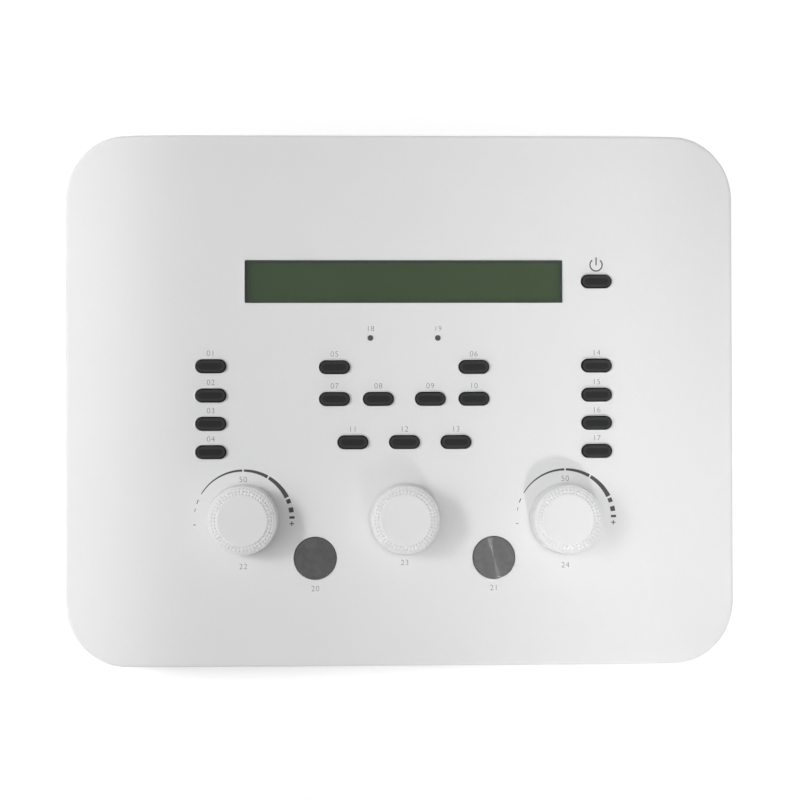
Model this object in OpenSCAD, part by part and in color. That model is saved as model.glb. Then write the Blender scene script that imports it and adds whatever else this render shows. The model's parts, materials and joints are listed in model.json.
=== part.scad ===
// Desktop audiometer: a white wedge-shaped housing with a crowned control panel,
// a text display, oblong keys, two round metal buttons and three endless dials.
// X runs to the right, Y to the rear, Z up; the feet stand on Z = 0.

/* [Housing] */
// Width of the housing, left to right
body_w = 304; // [298:1:310]
// Depth of the housing, measured along the sloping panel
body_d = 239; // [236:1:246]
// Slope of the panel, rising to the rear, in degrees
panel_tilt = 7; // [6:0.5:8]
// Height of the middle of the panel above the table
panel_height = 46; // [45:0.5:50]
// Radius of the four corners in plan
corner_r = 28; // [24:1:32]
// Depth of the top cover, from the panel to the parting line
cover_depth = 18; // [18:0.5:20]
// Thickness of the moulded walls
wall = 2.5; // [2.3:0.1:2.7]
// Radius of the rounded edge round the panel
edge_r = 1.5; // [1:0.1:2]

/* [Crowned sides] */
// Half width of the flat middle of the panel
flat_half_w = 98.5; // [97:0.5:100]
// Steepest slope that the panel reaches at its sides, in degrees
side_slope = 20; // [16:1:22]
// Radius of the bend from the flat middle to that slope
side_bend_r = 124; // [115:1:124]

/* [Base] */
// Gap between the cover's outline and the base's, all round the parting line
reveal = 1.2; // [0.8:0.1:1.5]
// Width of the base where it meets its underside
base_w = 284; // [280:1:288]
// Front edge of the base's underside, forward of the middle
base_front_y = 110; // [108:1:112]
// Rear edge of the base's underside, behind the middle
base_rear_y = 117; // [116.5:0.1:117.5]
// Height of the rubber feet
foot_h = 4; // [3.5:0.1:4.5]
// Radius of the rubber feet
foot_r = 8; // [7:0.5:9]

/* [Display] */
// Width of the display opening
window_w = 143.3; // [140:0.1:144]
// Height of the display opening, up the panel
window_h = 19.3; // [18:0.1:20]
// Height of the display's middle above the middle of the panel
window_y = 53.55; // [53:0.05:54]
// How deep the clear window lies below the panel
window_recess = 1.2; // [1:0.1:1.3]

/* [Oblong keys] */
// Length of a key's opening
key_hole_l = 14; // [13.8:0.1:14.4]
// Width of a key's opening
key_hole_w = 6.3; // [6.1:0.1:6.6]
// Gap between a key and its opening, all round
key_gap = 0.2; // [0.15:0.05:0.3]
// How far a key stands above the panel
key_rise = 1.8; // [1.4:0.1:2.2]
// How far a key or a button travels
key_travel = 1.0; // [0.6:0.1:1]
// Distance of the two outer key columns from the middle
key_column_x = 86.9; // [86:0.1:87.5]
// Height of the top key of those columns
key_column_y = 15.5; // [15:0.1:16]
// Distance from the top key of a column to the next one down
key_top_pitch = 13.15; // [12.9:0.05:13.4]
// Pitch of the keys below that
key_pitch = 12.7; // [12.5:0.05:13]
// Depth of the shallow dish in the top of a key
key_dish = 0.15; // [0.05:0.05:0.3]

/* [Round buttons] */
// Diameter of a round button's opening
button_hole_d = 19.35; // [19:0.05:19.6]
// Distance of the round buttons from the middle
button_x = 40.2; // [40:0.1:41]
// Distance of the round buttons in front of the middle of the panel
button_y = 70.85; // [70:0.05:71.5]

/* [Dials] */
// Radius of a dial at its foot
dial_foot_r = 16; // [15.8:0.1:16.5]
// Radius of the flat top of a dial
dial_top_r = 11.3; // [11.1:0.1:11.4]
// Height of a dial
dial_h = 15; // [14:0.1:16]
// Gap between a dial and the panel
dial_gap = 0.8; // [0.6:0.1:1]
// Dimples in each row of the knurled edge
knurl_count = 50; // [36:1:50]
// Rows of dimples
knurl_rows = 3; // [1:1:3]
// Width of the band that each row takes
knurl_pitch = 1.3; // [1.25:0.05:1.35]
// Depth of a dimple
knurl_depth = 0.35; // [0.2:0.05:0.4]
// Distance of the outer dials from the middle
dial_x = 72.5; // [72:0.1:73]
// Distance of the dials in front of the middle of the panel
dial_y = 53.25; // [53:0.05:54]

/* [Lamps] */
// Diameter of a lamp's light pipe
lamp_d = 2.5; // [2.2:0.1:3]
// Distance of the lamps from the middle
lamp_x = 15.2; // [15:0.1:16]
// Height of the lamps above the middle of the panel
lamp_y = 28.1; // [27.5:0.1:28.5]

/* [Rear sockets] */
// Bore of a large phone socket
phone_bore_d = 6.5; // [6.4:0.05:6.6]
// Bore of the small microphone socket
mic_bore_d = 3.6; // [3.55:0.05:3.7]
// Bore of the power inlet
inlet_bore_d = 6.3; // [6.2:0.05:6.4]

/* [Hidden] */
$fn = 64;
eps = 0.01;

// Shift of the whole control layout to the right of the housing's middle
layout_x = 1.1;

// The rearmost point is the cover's parting edge, the foremost its rounded front edge
rear_reach = body_d / 2 * cos(panel_tilt) + cover_depth * sin(panel_tilt);
front_reach = (body_d / 2 - edge_r) * cos(panel_tilt) - edge_r * sin(panel_tilt) + edge_r;
body_y = (front_reach - rear_reach) / 2;

// The crown: a flat middle, a bend to the side slope, then a straight run to the edge
bend_w = side_bend_r * sin(side_slope);
bend_drop = side_bend_r * (1 - cos(side_slope));
bend_step = 2.5;
crown_half = concat(
    [for (a = [0 : bend_step : side_slope])
        [flat_half_w + side_bend_r * sin(a), -side_bend_r * (1 - cos(a))]],
    [[body_w / 2 + 2, -bend_drop - (body_w / 2 + 2 - flat_half_w - bend_w) * tan(side_slope)]]
);

// Levels below the panel's outer face, along its normal
under_z = -wall;
parting_z = -cover_depth;
board_t = 1.6;
board_z = -12;
switch_top_z = -8.5;
well_floor_z = -10.4;
stem_end_z = well_floor_z + key_travel + 0.2;

// Keys and buttons
key_l = key_hole_l - 2 * key_gap;
key_w = key_hole_w - 2 * key_gap;
key_edge_r = 0.8;
neck_h = 2;
neck_l = 8;
neck_w = 3.6;
flange_t = 1.2;
flange_z = under_z - 0.1 - flange_t;
flange_edge = 1;
stem_r = 1.5;
well_r = stem_r + 0.08;
button_r = button_hole_d / 2 - 0.2;
button_rise = 0.4;
button_plate_t = 1.2;
button_edge = 0.3;
button_rim_w = 0.8;
button_dish = 0.25;

// Each oblong key: its name, then its place from the middle of the layout
middle_key_x = 31.4;
inner_key_x = 11.7;
lower_key_x = 23.2;
ear_key_y = 15;
mode_key_y = 0.65;
path_key_y = -18.8;
left_column = ["tone_key", "warble_key", "speech_key", "mask_key"];
right_column = ["print_key", "step_key", "options_key", "talkover_key"];
function column_y(row) = row == 0 ? key_column_y : key_column_y - key_top_pitch - (row - 1) * key_pitch;
KEYS = concat(
    [for (i = [0 : 3]) [left_column[i], -key_column_x, column_y(i)]],
    [for (i = [0 : 3]) [right_column[i], key_column_x, column_y(i)]],
    [
        ["left_ear_key", -middle_key_x, ear_key_y],
        ["right_ear_key", middle_key_x, ear_key_y],
        ["pulse_key", -middle_key_x, mode_key_y],
        ["reverse_key", -inner_key_x, mode_key_y],
        ["plus_level_key", inner_key_x, mode_key_y],
        ["lock_key", middle_key_x, mode_key_y],
        ["air_key", -lower_key_x, path_key_y],
        ["bone_key", 0, path_key_y],
        ["field_key", lower_key_x, path_key_y],
        ["power_key", key_column_x, window_y]
    ]
);

// Each round button, dial and lamp: its name, then its side of the middle
BUTTONS = [["present", -1], ["store", 1]];
DIALS = [["left", -1], ["centre", 0], ["right", 1]];
LAMPS = [["present_lamp", -1], ["response_lamp", 1]];

// Display module behind its window
lens_edge = 2.4;
glass_z = -5.4;
bezel_z = -3;
bezel_t = 0.6;
lcd_board_top_z = -6.5;
lcd_board_w = 157;
lcd_board_h = 34;
lcd_post = [76, 14.5];

// Front circuit board, with an arm up its right side for the power key
board_half_w = 97;
board_front_y = -83;
board_rear_y = 34;
board_arm_x = 79.5;
board_arm_y = 64;
board_posts = [[-60, 25], [60, 25], [-60, -24], [60, -24], [-18, -76], [18, -76], [-90, -75], [90, -75]];

// Posts for self-tapping screws: radius of the post, of its pilot hole, and the hole's depth
board_post_r = 3;
board_pilot = [1.25, 7];
lcd_post_r = 2.2;
lcd_pilot = [1, 3.5];
main_post_r = 3.5;

// Screws that close the housing, from below: boss and pilot in the cover, sleeve and bores in the base
case_boss_r = 3.8;
case_pilot = [1.5, 8];
case_sleeve_r = 5.2;
case_head_bore_r = 3.4;
case_shank_bore_r = 1.9;
case_post_x = 124;
case_post_y = [-90, 0, 90];
case_seat_z = parting_z - 3.5;

// Rear bay: the socket plate and what stands behind it
floor_z = foot_h + wall;
plate_face_y = base_rear_y - 3.3;
plate_t = 2;
plate_back_y = plate_face_y - plate_t;
bay_half_w = 100;
bay_low_z = 10.5;
bay_top_z = 34;
plate_edge = 3;
main_z = 10.5;
main_top_z = main_z + board_t;
main_half_w = 98;
main_front_y = 50;
main_posts = [[-90, 58], [90, 58], [-90, 100], [90, 100]];
phone_z = 24;
phone_x = [-84, -61, -38, -15, 8];
PHONES = ["left_phone_socket", "right_phone_socket", "bone_socket", "field_socket", "response_socket"];
phone_len = 26;
phone_half_w = 8;
phone_bush_r = 4.75;
phone_bush_l = 5;
mic_x = 31;
mic_z = 17;
usb_x = 54;
inlet_x = 79;

// ---------- Frames and outlines ----------

// Stands its children on the sloping panel: the origin is the panel's middle
module panel_space() {
    translate([0, body_y, panel_height])
        rotate([panel_tilt, 0, 0])
            children();
}

// The same, moved to the middle of the control layout
module layout_space(x = 0, y = 0) {
    panel_space()
        translate([layout_x + x, y, 0])
            children();
}

module rounded_rect(w, d, r) {
    square([w - 2 * r, d], center = true);
    square([w, d - 2 * r], center = true);
    for (sx = [-1, 1], sy = [-1, 1])
        translate([sx * (w / 2 - r), sy * (d / 2 - r)])
            circle(r);
}

module obround(l, w) {
    square([l - w, w], center = true);
    for (side = [-1, 1])
        translate([side * (l - w) / 2, 0])
            circle(w / 2);
}

// The housing's outline in plan, drawn in by a margin
module housing_outline(inset) {
    rounded_rect(body_w - 2 * inset, body_d - 2 * inset, corner_r - inset);
}

// Half of a flat-topped profile whose upper edge is rounded
module round_edge_profile(half_w, h, r) {
    square([half_w - r, h]);
    square([half_w, h - r]);
    translate([half_w - r, h - r])
        circle(r, $fn = 32);
}

// The same with a shallow dish in its top, inside a raised rim
module dished_profile(half_w, h, r, dish) {
    rim_w = r + 0.1;
    dish_run = 0.9;
    difference() {
        round_edge_profile(half_w, h, r);
        polygon([
            [-1, h - dish],
            [half_w - rim_w - dish_run, h - dish],
            [half_w - rim_w, h],
            [half_w - rim_w, h + 1],
            [-1, h + 1]
        ]);
    }
}

// An obround block with a rounded upper edge and a dished top
module dished_obround(l, w, h, r, dish) {
    for (side = [-1, 1])
        translate([side * (l - w) / 2, 0, 0])
            rotate([0, 0, -side * 90])
                rotate_extrude(angle = 180)
                    dished_profile(w / 2, h, r, dish);
    rotate([90, 0, 90])
        linear_extrude(l - w, center = true) {
            dished_profile(w / 2, h, r, dish);
            mirror([1, 0])
                dished_profile(w / 2, h, r, dish);
        }
}

// ---------- Housing ----------

// The space under the crowned panel, from the parting plane up, lowered and drawn in
module crowned_prism(inset, lower, floor_z) {
    right = [for (p = crown_half) [p[0], p[1] - lower]];
    left = [for (i = [len(crown_half) - 1 : -1 : 0]) [-crown_half[i][0], crown_half[i][1] - lower]];
    edge_x = body_w / 2 + 2;
    intersection() {
        translate([0, 0, floor_z])
            linear_extrude(-floor_z + 1)
                housing_outline(inset);
        rotate([90, 0, 0])
            linear_extrude(body_d + 4, center = true)
                polygon(concat(left, right, [[edge_x, floor_z - 1], [-edge_x, floor_z - 1]]));
    }
}

// The cover's outer form: the crowned prism with its upper edge rounded
module cover_form() {
    hull()
        for (a = [0 : 22.5 : 90])
            crowned_prism(edge_r * (1 - sin(a)), edge_r * (1 - cos(a)), parting_z);
}

module cover_openings() {
    translate([0, window_y, 0]) {
        cube([window_w, window_h, 4 * wall], center = true);
        translate([0, 0, -window_recess - wall])
            cube([window_w + 2 * lens_edge, window_h + 2 * lens_edge, 2 * wall], center = true);
    }
    for (k = KEYS)
        translate([k[1], k[2], -2 * wall])
            linear_extrude(3 * wall)
                obround(key_hole_l, key_hole_w);
    for (b = BUTTONS)
        translate([b[1] * button_x, -button_y, -2 * wall])
            cylinder(h = 3 * wall, d = button_hole_d);
    for (d = DIALS)
        translate([d[1] * dial_x, -dial_y, -2 * wall])
            cylinder(h = 3 * wall, r = bush_r + 0.2);
    for (p = LAMPS)
        translate([p[1] * lamp_x, lamp_y, -2 * wall])
            cylinder(h = 3 * wall, d = lamp_d + 0.1);
}

// Posts that carry the front board and the display, without their pilot holes
module cover_posts() {
    for (p = board_posts)
        translate([p[0], p[1], board_z])
            cylinder(h = -board_z + under_z + 1, r = board_post_r);
    for (sx = [-1, 1], sy = [-1, 1])
        translate([sx * lcd_post[0], window_y + sy * lcd_post[1], lcd_board_top_z])
            cylinder(h = -lcd_board_top_z + under_z + 1, r = lcd_post_r);
}

module cover_pilots() {
    for (p = board_posts)
        translate([p[0], p[1], board_z - eps])
            cylinder(h = board_pilot[1], r = board_pilot[0]);
    for (sx = [-1, 1], sy = [-1, 1])
        translate([sx * lcd_post[0], window_y + sy * lcd_post[1], lcd_board_top_z - eps])
            cylinder(h = lcd_pilot[1], r = lcd_pilot[0]);
}

module case_bosses(r, low_z, top_z) {
    for (sx = [-1, 1], y = case_post_y)
        translate([sx * case_post_x, y, low_z])
            cylinder(h = top_z - low_z, r = r);
}

module top_cover() {
    color("whitesmoke")
        panel_space()
            difference() {
                union() {
                    difference() {
                        cover_form();
                        crowned_prism(wall, wall, parting_z - 1);
                    }
                    translate([layout_x, 0, 0])
                        cover_posts();
                    intersection() {
                        crowned_prism(wall / 2, wall / 2, parting_z);
                        case_bosses(case_boss_r, parting_z, 0);
                    }
                }
                translate([layout_x, 0, 0]) {
                    cover_openings();
                    cover_pilots();
                }
                case_bosses(case_pilot[0], parting_z - eps, parting_z + case_pilot[1]);
            }
}

// The base's outer form, or its hollow: a tapered tub under the sloping parting plane
module tub_form(inset, rise) {
    hull() {
        panel_space()
            translate([0, 0, parting_z - 2])
                linear_extrude(2 + rise)
                    housing_outline(reveal + inset);
        for (step = [[0, 2], [2, 0]])
            translate([0, (base_rear_y - base_front_y) / 2, foot_h + inset + step[0]])
                linear_extrude(0.1)
                    rounded_rect(
                        base_w - 2 * (inset + step[1]),
                        base_rear_y + base_front_y - 2 * (inset + step[1]),
                        22 - inset - step[1]
                    );
    }
}

// The lip that stands up inside the cover
module tub_lip() {
    panel_space()
        translate([0, 0, parting_z - 1])
            linear_extrude(3)
                difference() {
                    housing_outline(wall + 0.1);
                    housing_outline(wall + 1.6);
                }
}

module tub_posts() {
    intersection() {
        tub_form(0, 0);
        panel_space()
            case_bosses(case_sleeve_r, parting_z - 50, parting_z);
    }
    for (p = main_posts)
        translate([p[0], p[1], foot_h + 1])
            cylinder(h = main_z - foot_h - 1, r = main_post_r);
}

// A flat frame behind the rear wall, and two hooks, that hold the socket plate
module plate_seat() {
    seat_w = 2 * (bay_half_w + plate_edge + 2);
    intersection() {
        tub_form(0, 0);
        translate([-seat_w / 2, plate_face_y, foot_h + 1])
            cube([seat_w, 10, bay_top_z + plate_edge - foot_h]);
    }
    for (side = [-1, 1])
        translate([side * (bay_half_w + plate_edge + 0.2), plate_back_y - 1.9, floor_z - 1])
            translate([side > 0 ? -2 : 0, 0, 0])
                cube([2, 1.8, 24]);
}

module base_tub() {
    color("whitesmoke")
        difference() {
            union() {
                difference() {
                    tub_form(0, 0);
                    tub_form(wall, 1);
                }
                tub_lip();
                tub_posts();
                plate_seat();
            }
            panel_space() {
                case_bosses(case_head_bore_r, parting_z - 60, case_seat_z);
                case_bosses(case_shank_bore_r, parting_z - 60, parting_z + 1);
            }
            for (p = main_posts)
                translate([p[0], p[1], floor_z])
                    cylinder(h = 10, r = board_pilot[0]);
            translate([-bay_half_w, plate_back_y, bay_low_z])
                cube([2 * bay_half_w, 20, bay_top_z - bay_low_z]);
            foot_places()
                translate([0, 0, foot_h - 1])
                    cylinder(h = 2, r = foot_r + 0.1);
        }
}

module foot_places() {
    for (sx = [-1, 1], y = [-base_front_y + 22, base_rear_y - 42])
        translate([sx * (base_w / 2 - 40), y, 0])
            children();
}

module rubber_feet() {
    color("dimgray")
        foot_places() {
            cylinder(h = 1, r1 = foot_r - 1, r2 = foot_r);
            translate([0, 0, 1])
                cylinder(h = foot_h, r = foot_r);
        }
}

// A pan-head screw: its head starts at z = 0 and its shank rises from it
module screw(head_r, head_h, shank_r, shank_l) {
    difference() {
        union() {
            cylinder(h = head_h, r = head_r);
            cylinder(h = head_h + shank_l, r = shank_r);
        }
        for (turn = [0, 90])
            rotate([0, 0, turn])
                translate([-head_r * 0.6, -head_r * 0.12, -eps])
                    cube([head_r * 1.2, head_r * 0.24, head_h * 0.6]);
    }
}

module case_screws() {
    color("silver")
        panel_space()
            for (sx = [-1, 1], y = case_post_y)
                translate([sx * case_post_x, y, case_seat_z - 2.2])
                    screw(3.1, 2.2, 1.5, 11);
}

module board_screws() {
    color("silver") {
        layout_space()
            for (p = board_posts)
                translate([p[0], p[1], board_z - board_t - 1.6])
                    screw(2.4, 1.6, 1.25, 7);
        layout_space()
            for (sx = [-1, 1], sy = [-1, 1])
                translate([sx * lcd_post[0], window_y + sy * lcd_post[1], lcd_board_top_z - board_t - 1.3])
                    screw(1.9, 1.3, 1, 4.5);
        for (p = main_posts)
            translate([p[0], p[1], main_top_z + 1.6])
                mirror([0, 0, 1])
                    screw(2.4, 1.6, 1.25, 5);
    }
}

// ---------- Display ----------

module display_window() {
    color("darkolivegreen", 0.5)
        layout_space(0, window_y)
            translate([0, 0, -window_recess - (wall - window_recess) / 2])
                cube([window_w + 2 * lens_edge - 0.2, window_h + 2 * lens_edge - 0.2, wall - window_recess],
                     center = true);
}

module lcd_glass() {
    color("darkolivegreen")
        layout_space(0, window_y)
            translate([0, 0, (glass_z + bezel_z - bezel_t) / 2])
                cube([window_w + 1.8, window_h + 4.2, bezel_z - bezel_t - glass_z], center = true);
}

// A folded steel frame with a window, that clamps the glass on its board
module lcd_bezel() {
    outer_w = window_w + 3.7;
    outer_h = window_h + 6.2;
    color("dimgray")
        layout_space(0, window_y)
            difference() {
                translate([0, 0, lcd_board_top_z])
                    linear_extrude(bezel_z - lcd_board_top_z)
                        square([outer_w, outer_h], center = true);
                translate([0, 0, lcd_board_top_z - 1])
                    linear_extrude(bezel_z - bezel_t - lcd_board_top_z + 1)
                        square([outer_w - 2 * bezel_t, outer_h - 2 * bezel_t], center = true);
                linear_extrude(4 * wall, center = true)
                    square([window_w + 0.6, window_h + 1.2], center = true);
            }
}

module lcd_board() {
    color("darkgreen")
        layout_space(0, window_y)
            translate([0, 0, lcd_board_top_z - board_t])
                difference() {
                    union() {
                        translate([-lcd_board_w / 2, -lcd_board_h / 2, 0])
                            cube([lcd_board_w, lcd_board_h, board_t]);
                        translate([-window_w / 2, -6, board_t - eps])
                            cube([window_w, 12, glass_z - lcd_board_top_z + eps]);
                    }
                    for (sx = [-1, 1], sy = [-1, 1])
                        translate([sx * lcd_post[0], sy * lcd_post[1], -1])
                            cylinder(h = board_t + 2, r = 1.2);
                }
}

// ---------- Boards and what they carry ----------

module front_board() {
    color("darkgreen")
        layout_space()
            translate([0, 0, board_z - board_t])
                linear_extrude(board_t)
                    difference() {
                        union() {
                            translate([-board_half_w, board_front_y])
                                square([2 * board_half_w, board_rear_y - board_front_y]);
                            translate([board_arm_x, board_rear_y - 1])
                                square([board_half_w - board_arm_x, board_arm_y - board_rear_y + 1]);
                        }
                        for (p = board_posts)
                            translate(p)
                                circle(1.5);
                    }
}

// Every place that has a push switch: the keys, then the round buttons
switch_places = concat(
    [for (k = KEYS) [k[1], k[2]]],
    [for (b = BUTTONS) [b[1] * button_x, -button_y]]
);

// One push switch: a square body with four legs and a round well for the plunger
module push_switch() {
    difference() {
        union() {
            translate([0, 0, (board_z + switch_top_z) / 2])
                cube([6.2, 6.2, switch_top_z - board_z], center = true);
            for (sx = [-1, 1], sy = [-1, 1])
                translate([sx * 3.4, sy * 2.2, board_z + 0.5])
                    cube([1.4, 0.8, 1], center = true);
        }
        translate([0, 0, well_floor_z])
            cylinder(h = 4, r = well_r);
    }
}

module key_switches() {
    color("dimgray")
        layout_space()
            for (p = switch_places)
                translate([p[0], p[1], 0])
                    push_switch();
}

module lamp_leds() {
    color("lightyellow")
        layout_space()
            for (p = LAMPS)
                translate([p[1] * lamp_x, lamp_y, board_z + 0.6])
                    cube([3.2, 1.6, 1.2], center = true);
}

module main_board() {
    color("darkgreen")
        difference() {
            translate([-main_half_w, main_front_y, main_z])
                cube([2 * main_half_w, plate_back_y - 1 - main_front_y, board_t]);
            for (p = main_posts)
                translate([p[0], p[1], main_z - 1])
                    cylinder(h = board_t + 2, r = 1.5);
        }
}

// Ribbon from the front board to the main board: where it leaves each header
ribbon_w = 26;
ribbon_t = 0.9;
ribbon_start = [16, 27];
ribbon_end = [62, 19];
ribbon_sag = 3;
header_h = 6;
// The plug under the front board
plug_w = 6;
plug_y = 14.5;
plug_h = 8;

module main_board_parts() {
    color("dimgray")
        translate([0, 0, main_top_z]) {
            for (x = [-30, 24])
                translate([x - 8, 72, 0])
                    cube([16, 9, 1.6]);
            translate([52, 60, 0])
                cube([14, 14, 1.6]);
            for (x = [68, 80])
                translate([x, 84, 0])
                    cylinder(h = 9, r = 4);
            translate([-ribbon_w / 2 - 2, ribbon_end[1] + 41, 0])
                cube([ribbon_w + 4, 8, header_h]);
        }
}

// The height of the ribbon along its run, from 0 at one end to 1 at the other
function ribbon_height(u) =
    ribbon_start[1] + (ribbon_end[1] - ribbon_start[1]) * (1 - cos(180 * u)) / 2 - ribbon_sag * sin(180 * u);

module ribbon_cable() {
    run = ribbon_end[0] - ribbon_start[0];
    top = [for (u = [0 : 0.05 : 1]) [ribbon_start[0] + run * u, ribbon_height(u) + ribbon_t / 2]];
    under = [for (u = [1 : -0.05 : 0]) [ribbon_start[0] + run * u, ribbon_height(u) - ribbon_t / 2]];
    color("lightgray") {
        rotate([90, 0, 90])
            linear_extrude(ribbon_w, center = true)
                polygon(concat(top, under));
        translate([-ribbon_w / 2 - 2, ribbon_end[0] - 1, main_top_z + header_h])
            cube([ribbon_w + 4, plug_w, ribbon_end[1] + 0.45 - main_top_z - header_h]);
        panel_space()
            translate([-ribbon_w / 2 - 2, plug_y - plug_w / 2, board_z - board_t - plug_h])
                cube([ribbon_w + 4, plug_w, plug_h]);
    }
}

// ---------- Keys and buttons ----------

module oblong_key(x, y) {
    color([0.2, 0.2, 0.2])
        layout_space(x, y) {
            translate([0, 0, flange_z + flange_t])
                dished_obround(key_l, key_w, key_rise - flange_z - flange_t, key_edge_r, key_dish);
            translate([0, 0, flange_z])
                linear_extrude(flange_t)
                    obround(key_hole_l + 2 * flange_edge, key_hole_w + 2 * flange_edge);
            translate([0, 0, flange_z - neck_h])
                linear_extrude(neck_h)
                    obround(neck_l, neck_w);
            translate([0, 0, stem_end_z])
                cylinder(h = flange_z - stem_end_z, r = stem_r);
        }
}

// The metal face of a round button, turned with a shallow dish
module button_face(side) {
    face_z = button_rise - button_plate_t;
    color([0.4, 0.4, 0.4])
        layout_space(side * button_x, -button_y)
            translate([0, 0, face_z])
                rotate_extrude()
                    polygon([
                        [0, 0],
                        [button_r, 0],
                        [button_r, button_plate_t - button_edge],
                        [button_r - button_edge, button_plate_t],
                        [button_r - button_rim_w, button_plate_t],
                        [0, button_plate_t - button_dish]
                    ]);
}

module button_plunger(side) {
    color([0.25, 0.25, 0.25])
        layout_space(side * button_x, -button_y) {
            translate([0, 0, flange_z])
                cylinder(h = flange_t, r = button_hole_d / 2 + 1.2);
            translate([0, 0, flange_z])
                cylinder(h = button_rise - button_plate_t - flange_z, r = button_r - 0.15);
            translate([0, 0, flange_z - neck_h])
                cylinder(h = neck_h, r = neck_l / 2);
            translate([0, 0, stem_end_z])
                cylinder(h = flange_z - stem_end_z, r = stem_r);
        }
}

// A light pipe that carries a lamp's light to the panel
module light_pipe(side) {
    color([0.3, 0.3, 0.3])
        layout_space(side * lamp_x, lamp_y) {
            translate([0, 0, board_z + 1.7])
                cylinder(h = -board_z - 1.7 + 0.2, d = lamp_d);
            translate([0, 0, under_z - 1])
                cylinder(h = 1, d = lamp_d + 2);
        }
}

// ---------- Dials ----------

// Slope of each knurled band, from the top one down
knurl_slopes = [12, 24, 34];
knurl_half_w = 0.6;
dial_shoulder = 0.2;
bush_r = 3.6;
shaft_r = 3;
shaft_flat = 1.5;
shaft_top_z = 12.6;
collar_r = 4.4;
collar_z = -9.6;
collar_h = 1.4;
running_gap = 0.05;

// The fixed body of an encoder, with the threaded bush that its shaft turns in
module encoder(side) {
    color("slategray")
        layout_space(side * dial_x, -dial_y)
            difference() {
                union() {
                    translate([-6.2, -6.2, board_z])
                        cube([12.4, 12.4, 6.5]);
                    translate([0, 0, board_z + 6])
                        cylinder(h = -board_z - 6 + 0.4, r = bush_r);
                }
                translate([0, 0, board_z + 1.3])
                    cylinder(h = 20, r = shaft_r + running_gap);
                translate([0, 0, collar_z - 0.1])
                    cylinder(h = collar_h + 0.2, r = collar_r + 0.1);
            }
}

// The turning shaft: a collar below, and a flat that drives the dial above
module encoder_shaft(side) {
    color("silver")
        layout_space(side * dial_x, -dial_y)
            difference() {
                union() {
                    translate([0, 0, board_z + 1.4])
                        cylinder(h = shaft_top_z - board_z - 1.4, r = shaft_r);
                    translate([0, 0, collar_z])
                        cylinder(h = collar_h, r = collar_r);
                }
                translate([shaft_flat, -5, 2.2])
                    cube([5, 10, 20]);
            }
}

// How far the edge of a dial has dropped below its shoulder where a band starts
function band_drop(band) =
    band == 0 ? 0 : band_drop(band - 1) + knurl_pitch * tan(knurl_slopes[band - 1]);

// Diamond dimples, one row on each sloping band round the edge of a dial
module knurl(shoulder_z) {
    for (row = [0 : knurl_rows - 1], i = [0 : knurl_count - 1]) {
        r = dial_top_r + (row + 0.5) * knurl_pitch;
        z = shoulder_z - (band_drop(row) + band_drop(row + 1)) / 2;
        rotate([0, 0, i * 360 / knurl_count])
            translate([r, 0, z])
                rotate([0, knurl_slopes[row], 0])
                    translate([0, 0, -knurl_depth])
                        cylinder(h = 2 * knurl_depth, r1 = 0, r2 = 2 * knurl_half_w, $fn = 4);
    }
}

module dial(side) {
    top_z = dial_gap + dial_h;
    shoulder_z = top_z - dial_shoulder;
    roof_z = top_z - 2.8;
    wall_r = 12.4;
    hub_r = 5;
    color("white")
        layout_space(side * dial_x, -dial_y)
            difference() {
                rotate_extrude()
                    polygon([
                        [0, dial_gap],
                        [dial_foot_r - 0.4, dial_gap],
                        [dial_foot_r, dial_gap + 0.4],
                        for (band = [3 : -1 : 0])
                            [dial_top_r + band * knurl_pitch, shoulder_z - band_drop(band)],
                        [dial_top_r - dial_shoulder, top_z],
                        [0, top_z]
                    ]);
                knurl(shoulder_z);
                difference() {
                    translate([0, 0, dial_gap - 1])
                        cylinder(h = roof_z - dial_gap + 1, r = wall_r);
                    translate([0, 0, dial_gap + 1.8])
                        cylinder(h = roof_z, r = hub_r);
                    for (turn = [0 : 60 : 120])
                        rotate([0, 0, turn])
                            translate([-wall_r - 1, -0.6, dial_gap + 2.4])
                                cube([2 * wall_r + 2, 1.2, roof_z]);
                }
                difference() {
                    cylinder(h = shaft_top_z, r = shaft_r);
                    translate([shaft_flat, -5, 0])
                        cube([5, 10, 20]);
                }
            }
}

// ---------- Rear sockets ----------

// Turns its children so that their +Z axis points out of the rear plate
module rear_space(x, z) {
    translate([x, plate_face_y, z])
        rotate([-90, 0, 0])
            children();
}

module rear_plate() {
    color("gainsboro")
        difference() {
            translate([-bay_half_w - plate_edge, plate_back_y, bay_low_z - plate_edge])
                cube([2 * (bay_half_w + plate_edge), plate_t, bay_top_z - bay_low_z + 2 * plate_edge]);
            for (x = phone_x)
                rear_space(x, phone_z)
                    cylinder(h = 10, r = phone_bush_r + 0.1, center = true);
            rear_space(mic_x, mic_z)
                cylinder(h = 10, r = 3.6, center = true);
            translate([usb_x, plate_face_y, main_top_z + 5.45])
                cube([12.4, 10, 11.3], center = true);
            translate([inlet_x, plate_face_y, main_top_z + 5.5])
                cube([9.4, 10, 11.4], center = true);
        }
}

module phone_socket(x) {
    color([0.15, 0.15, 0.15])
        rear_space(x, phone_z)
            difference() {
                union() {
                    translate([0, 0, -plate_t - phone_len / 2])
                        cube([2 * phone_half_w, 2 * phone_half_w, phone_len], center = true);
                    translate([0, 0, -plate_t - 1])
                        cylinder(h = plate_t + 1 + phone_bush_l - plate_t, r = phone_bush_r);
                }
                translate([0, 0, -plate_t - phone_len + 2])
                    cylinder(h = phone_len + 20, d = phone_bore_d);
            }
}

module socket_nuts() {
    color("silver")
        for (x = phone_x)
            rear_space(x, phone_z)
                difference() {
                    cylinder(h = 2, r = 7, $fn = 6);
                    translate([0, 0, -1])
                        cylinder(h = 4, r = phone_bush_r);
                }
}

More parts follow.
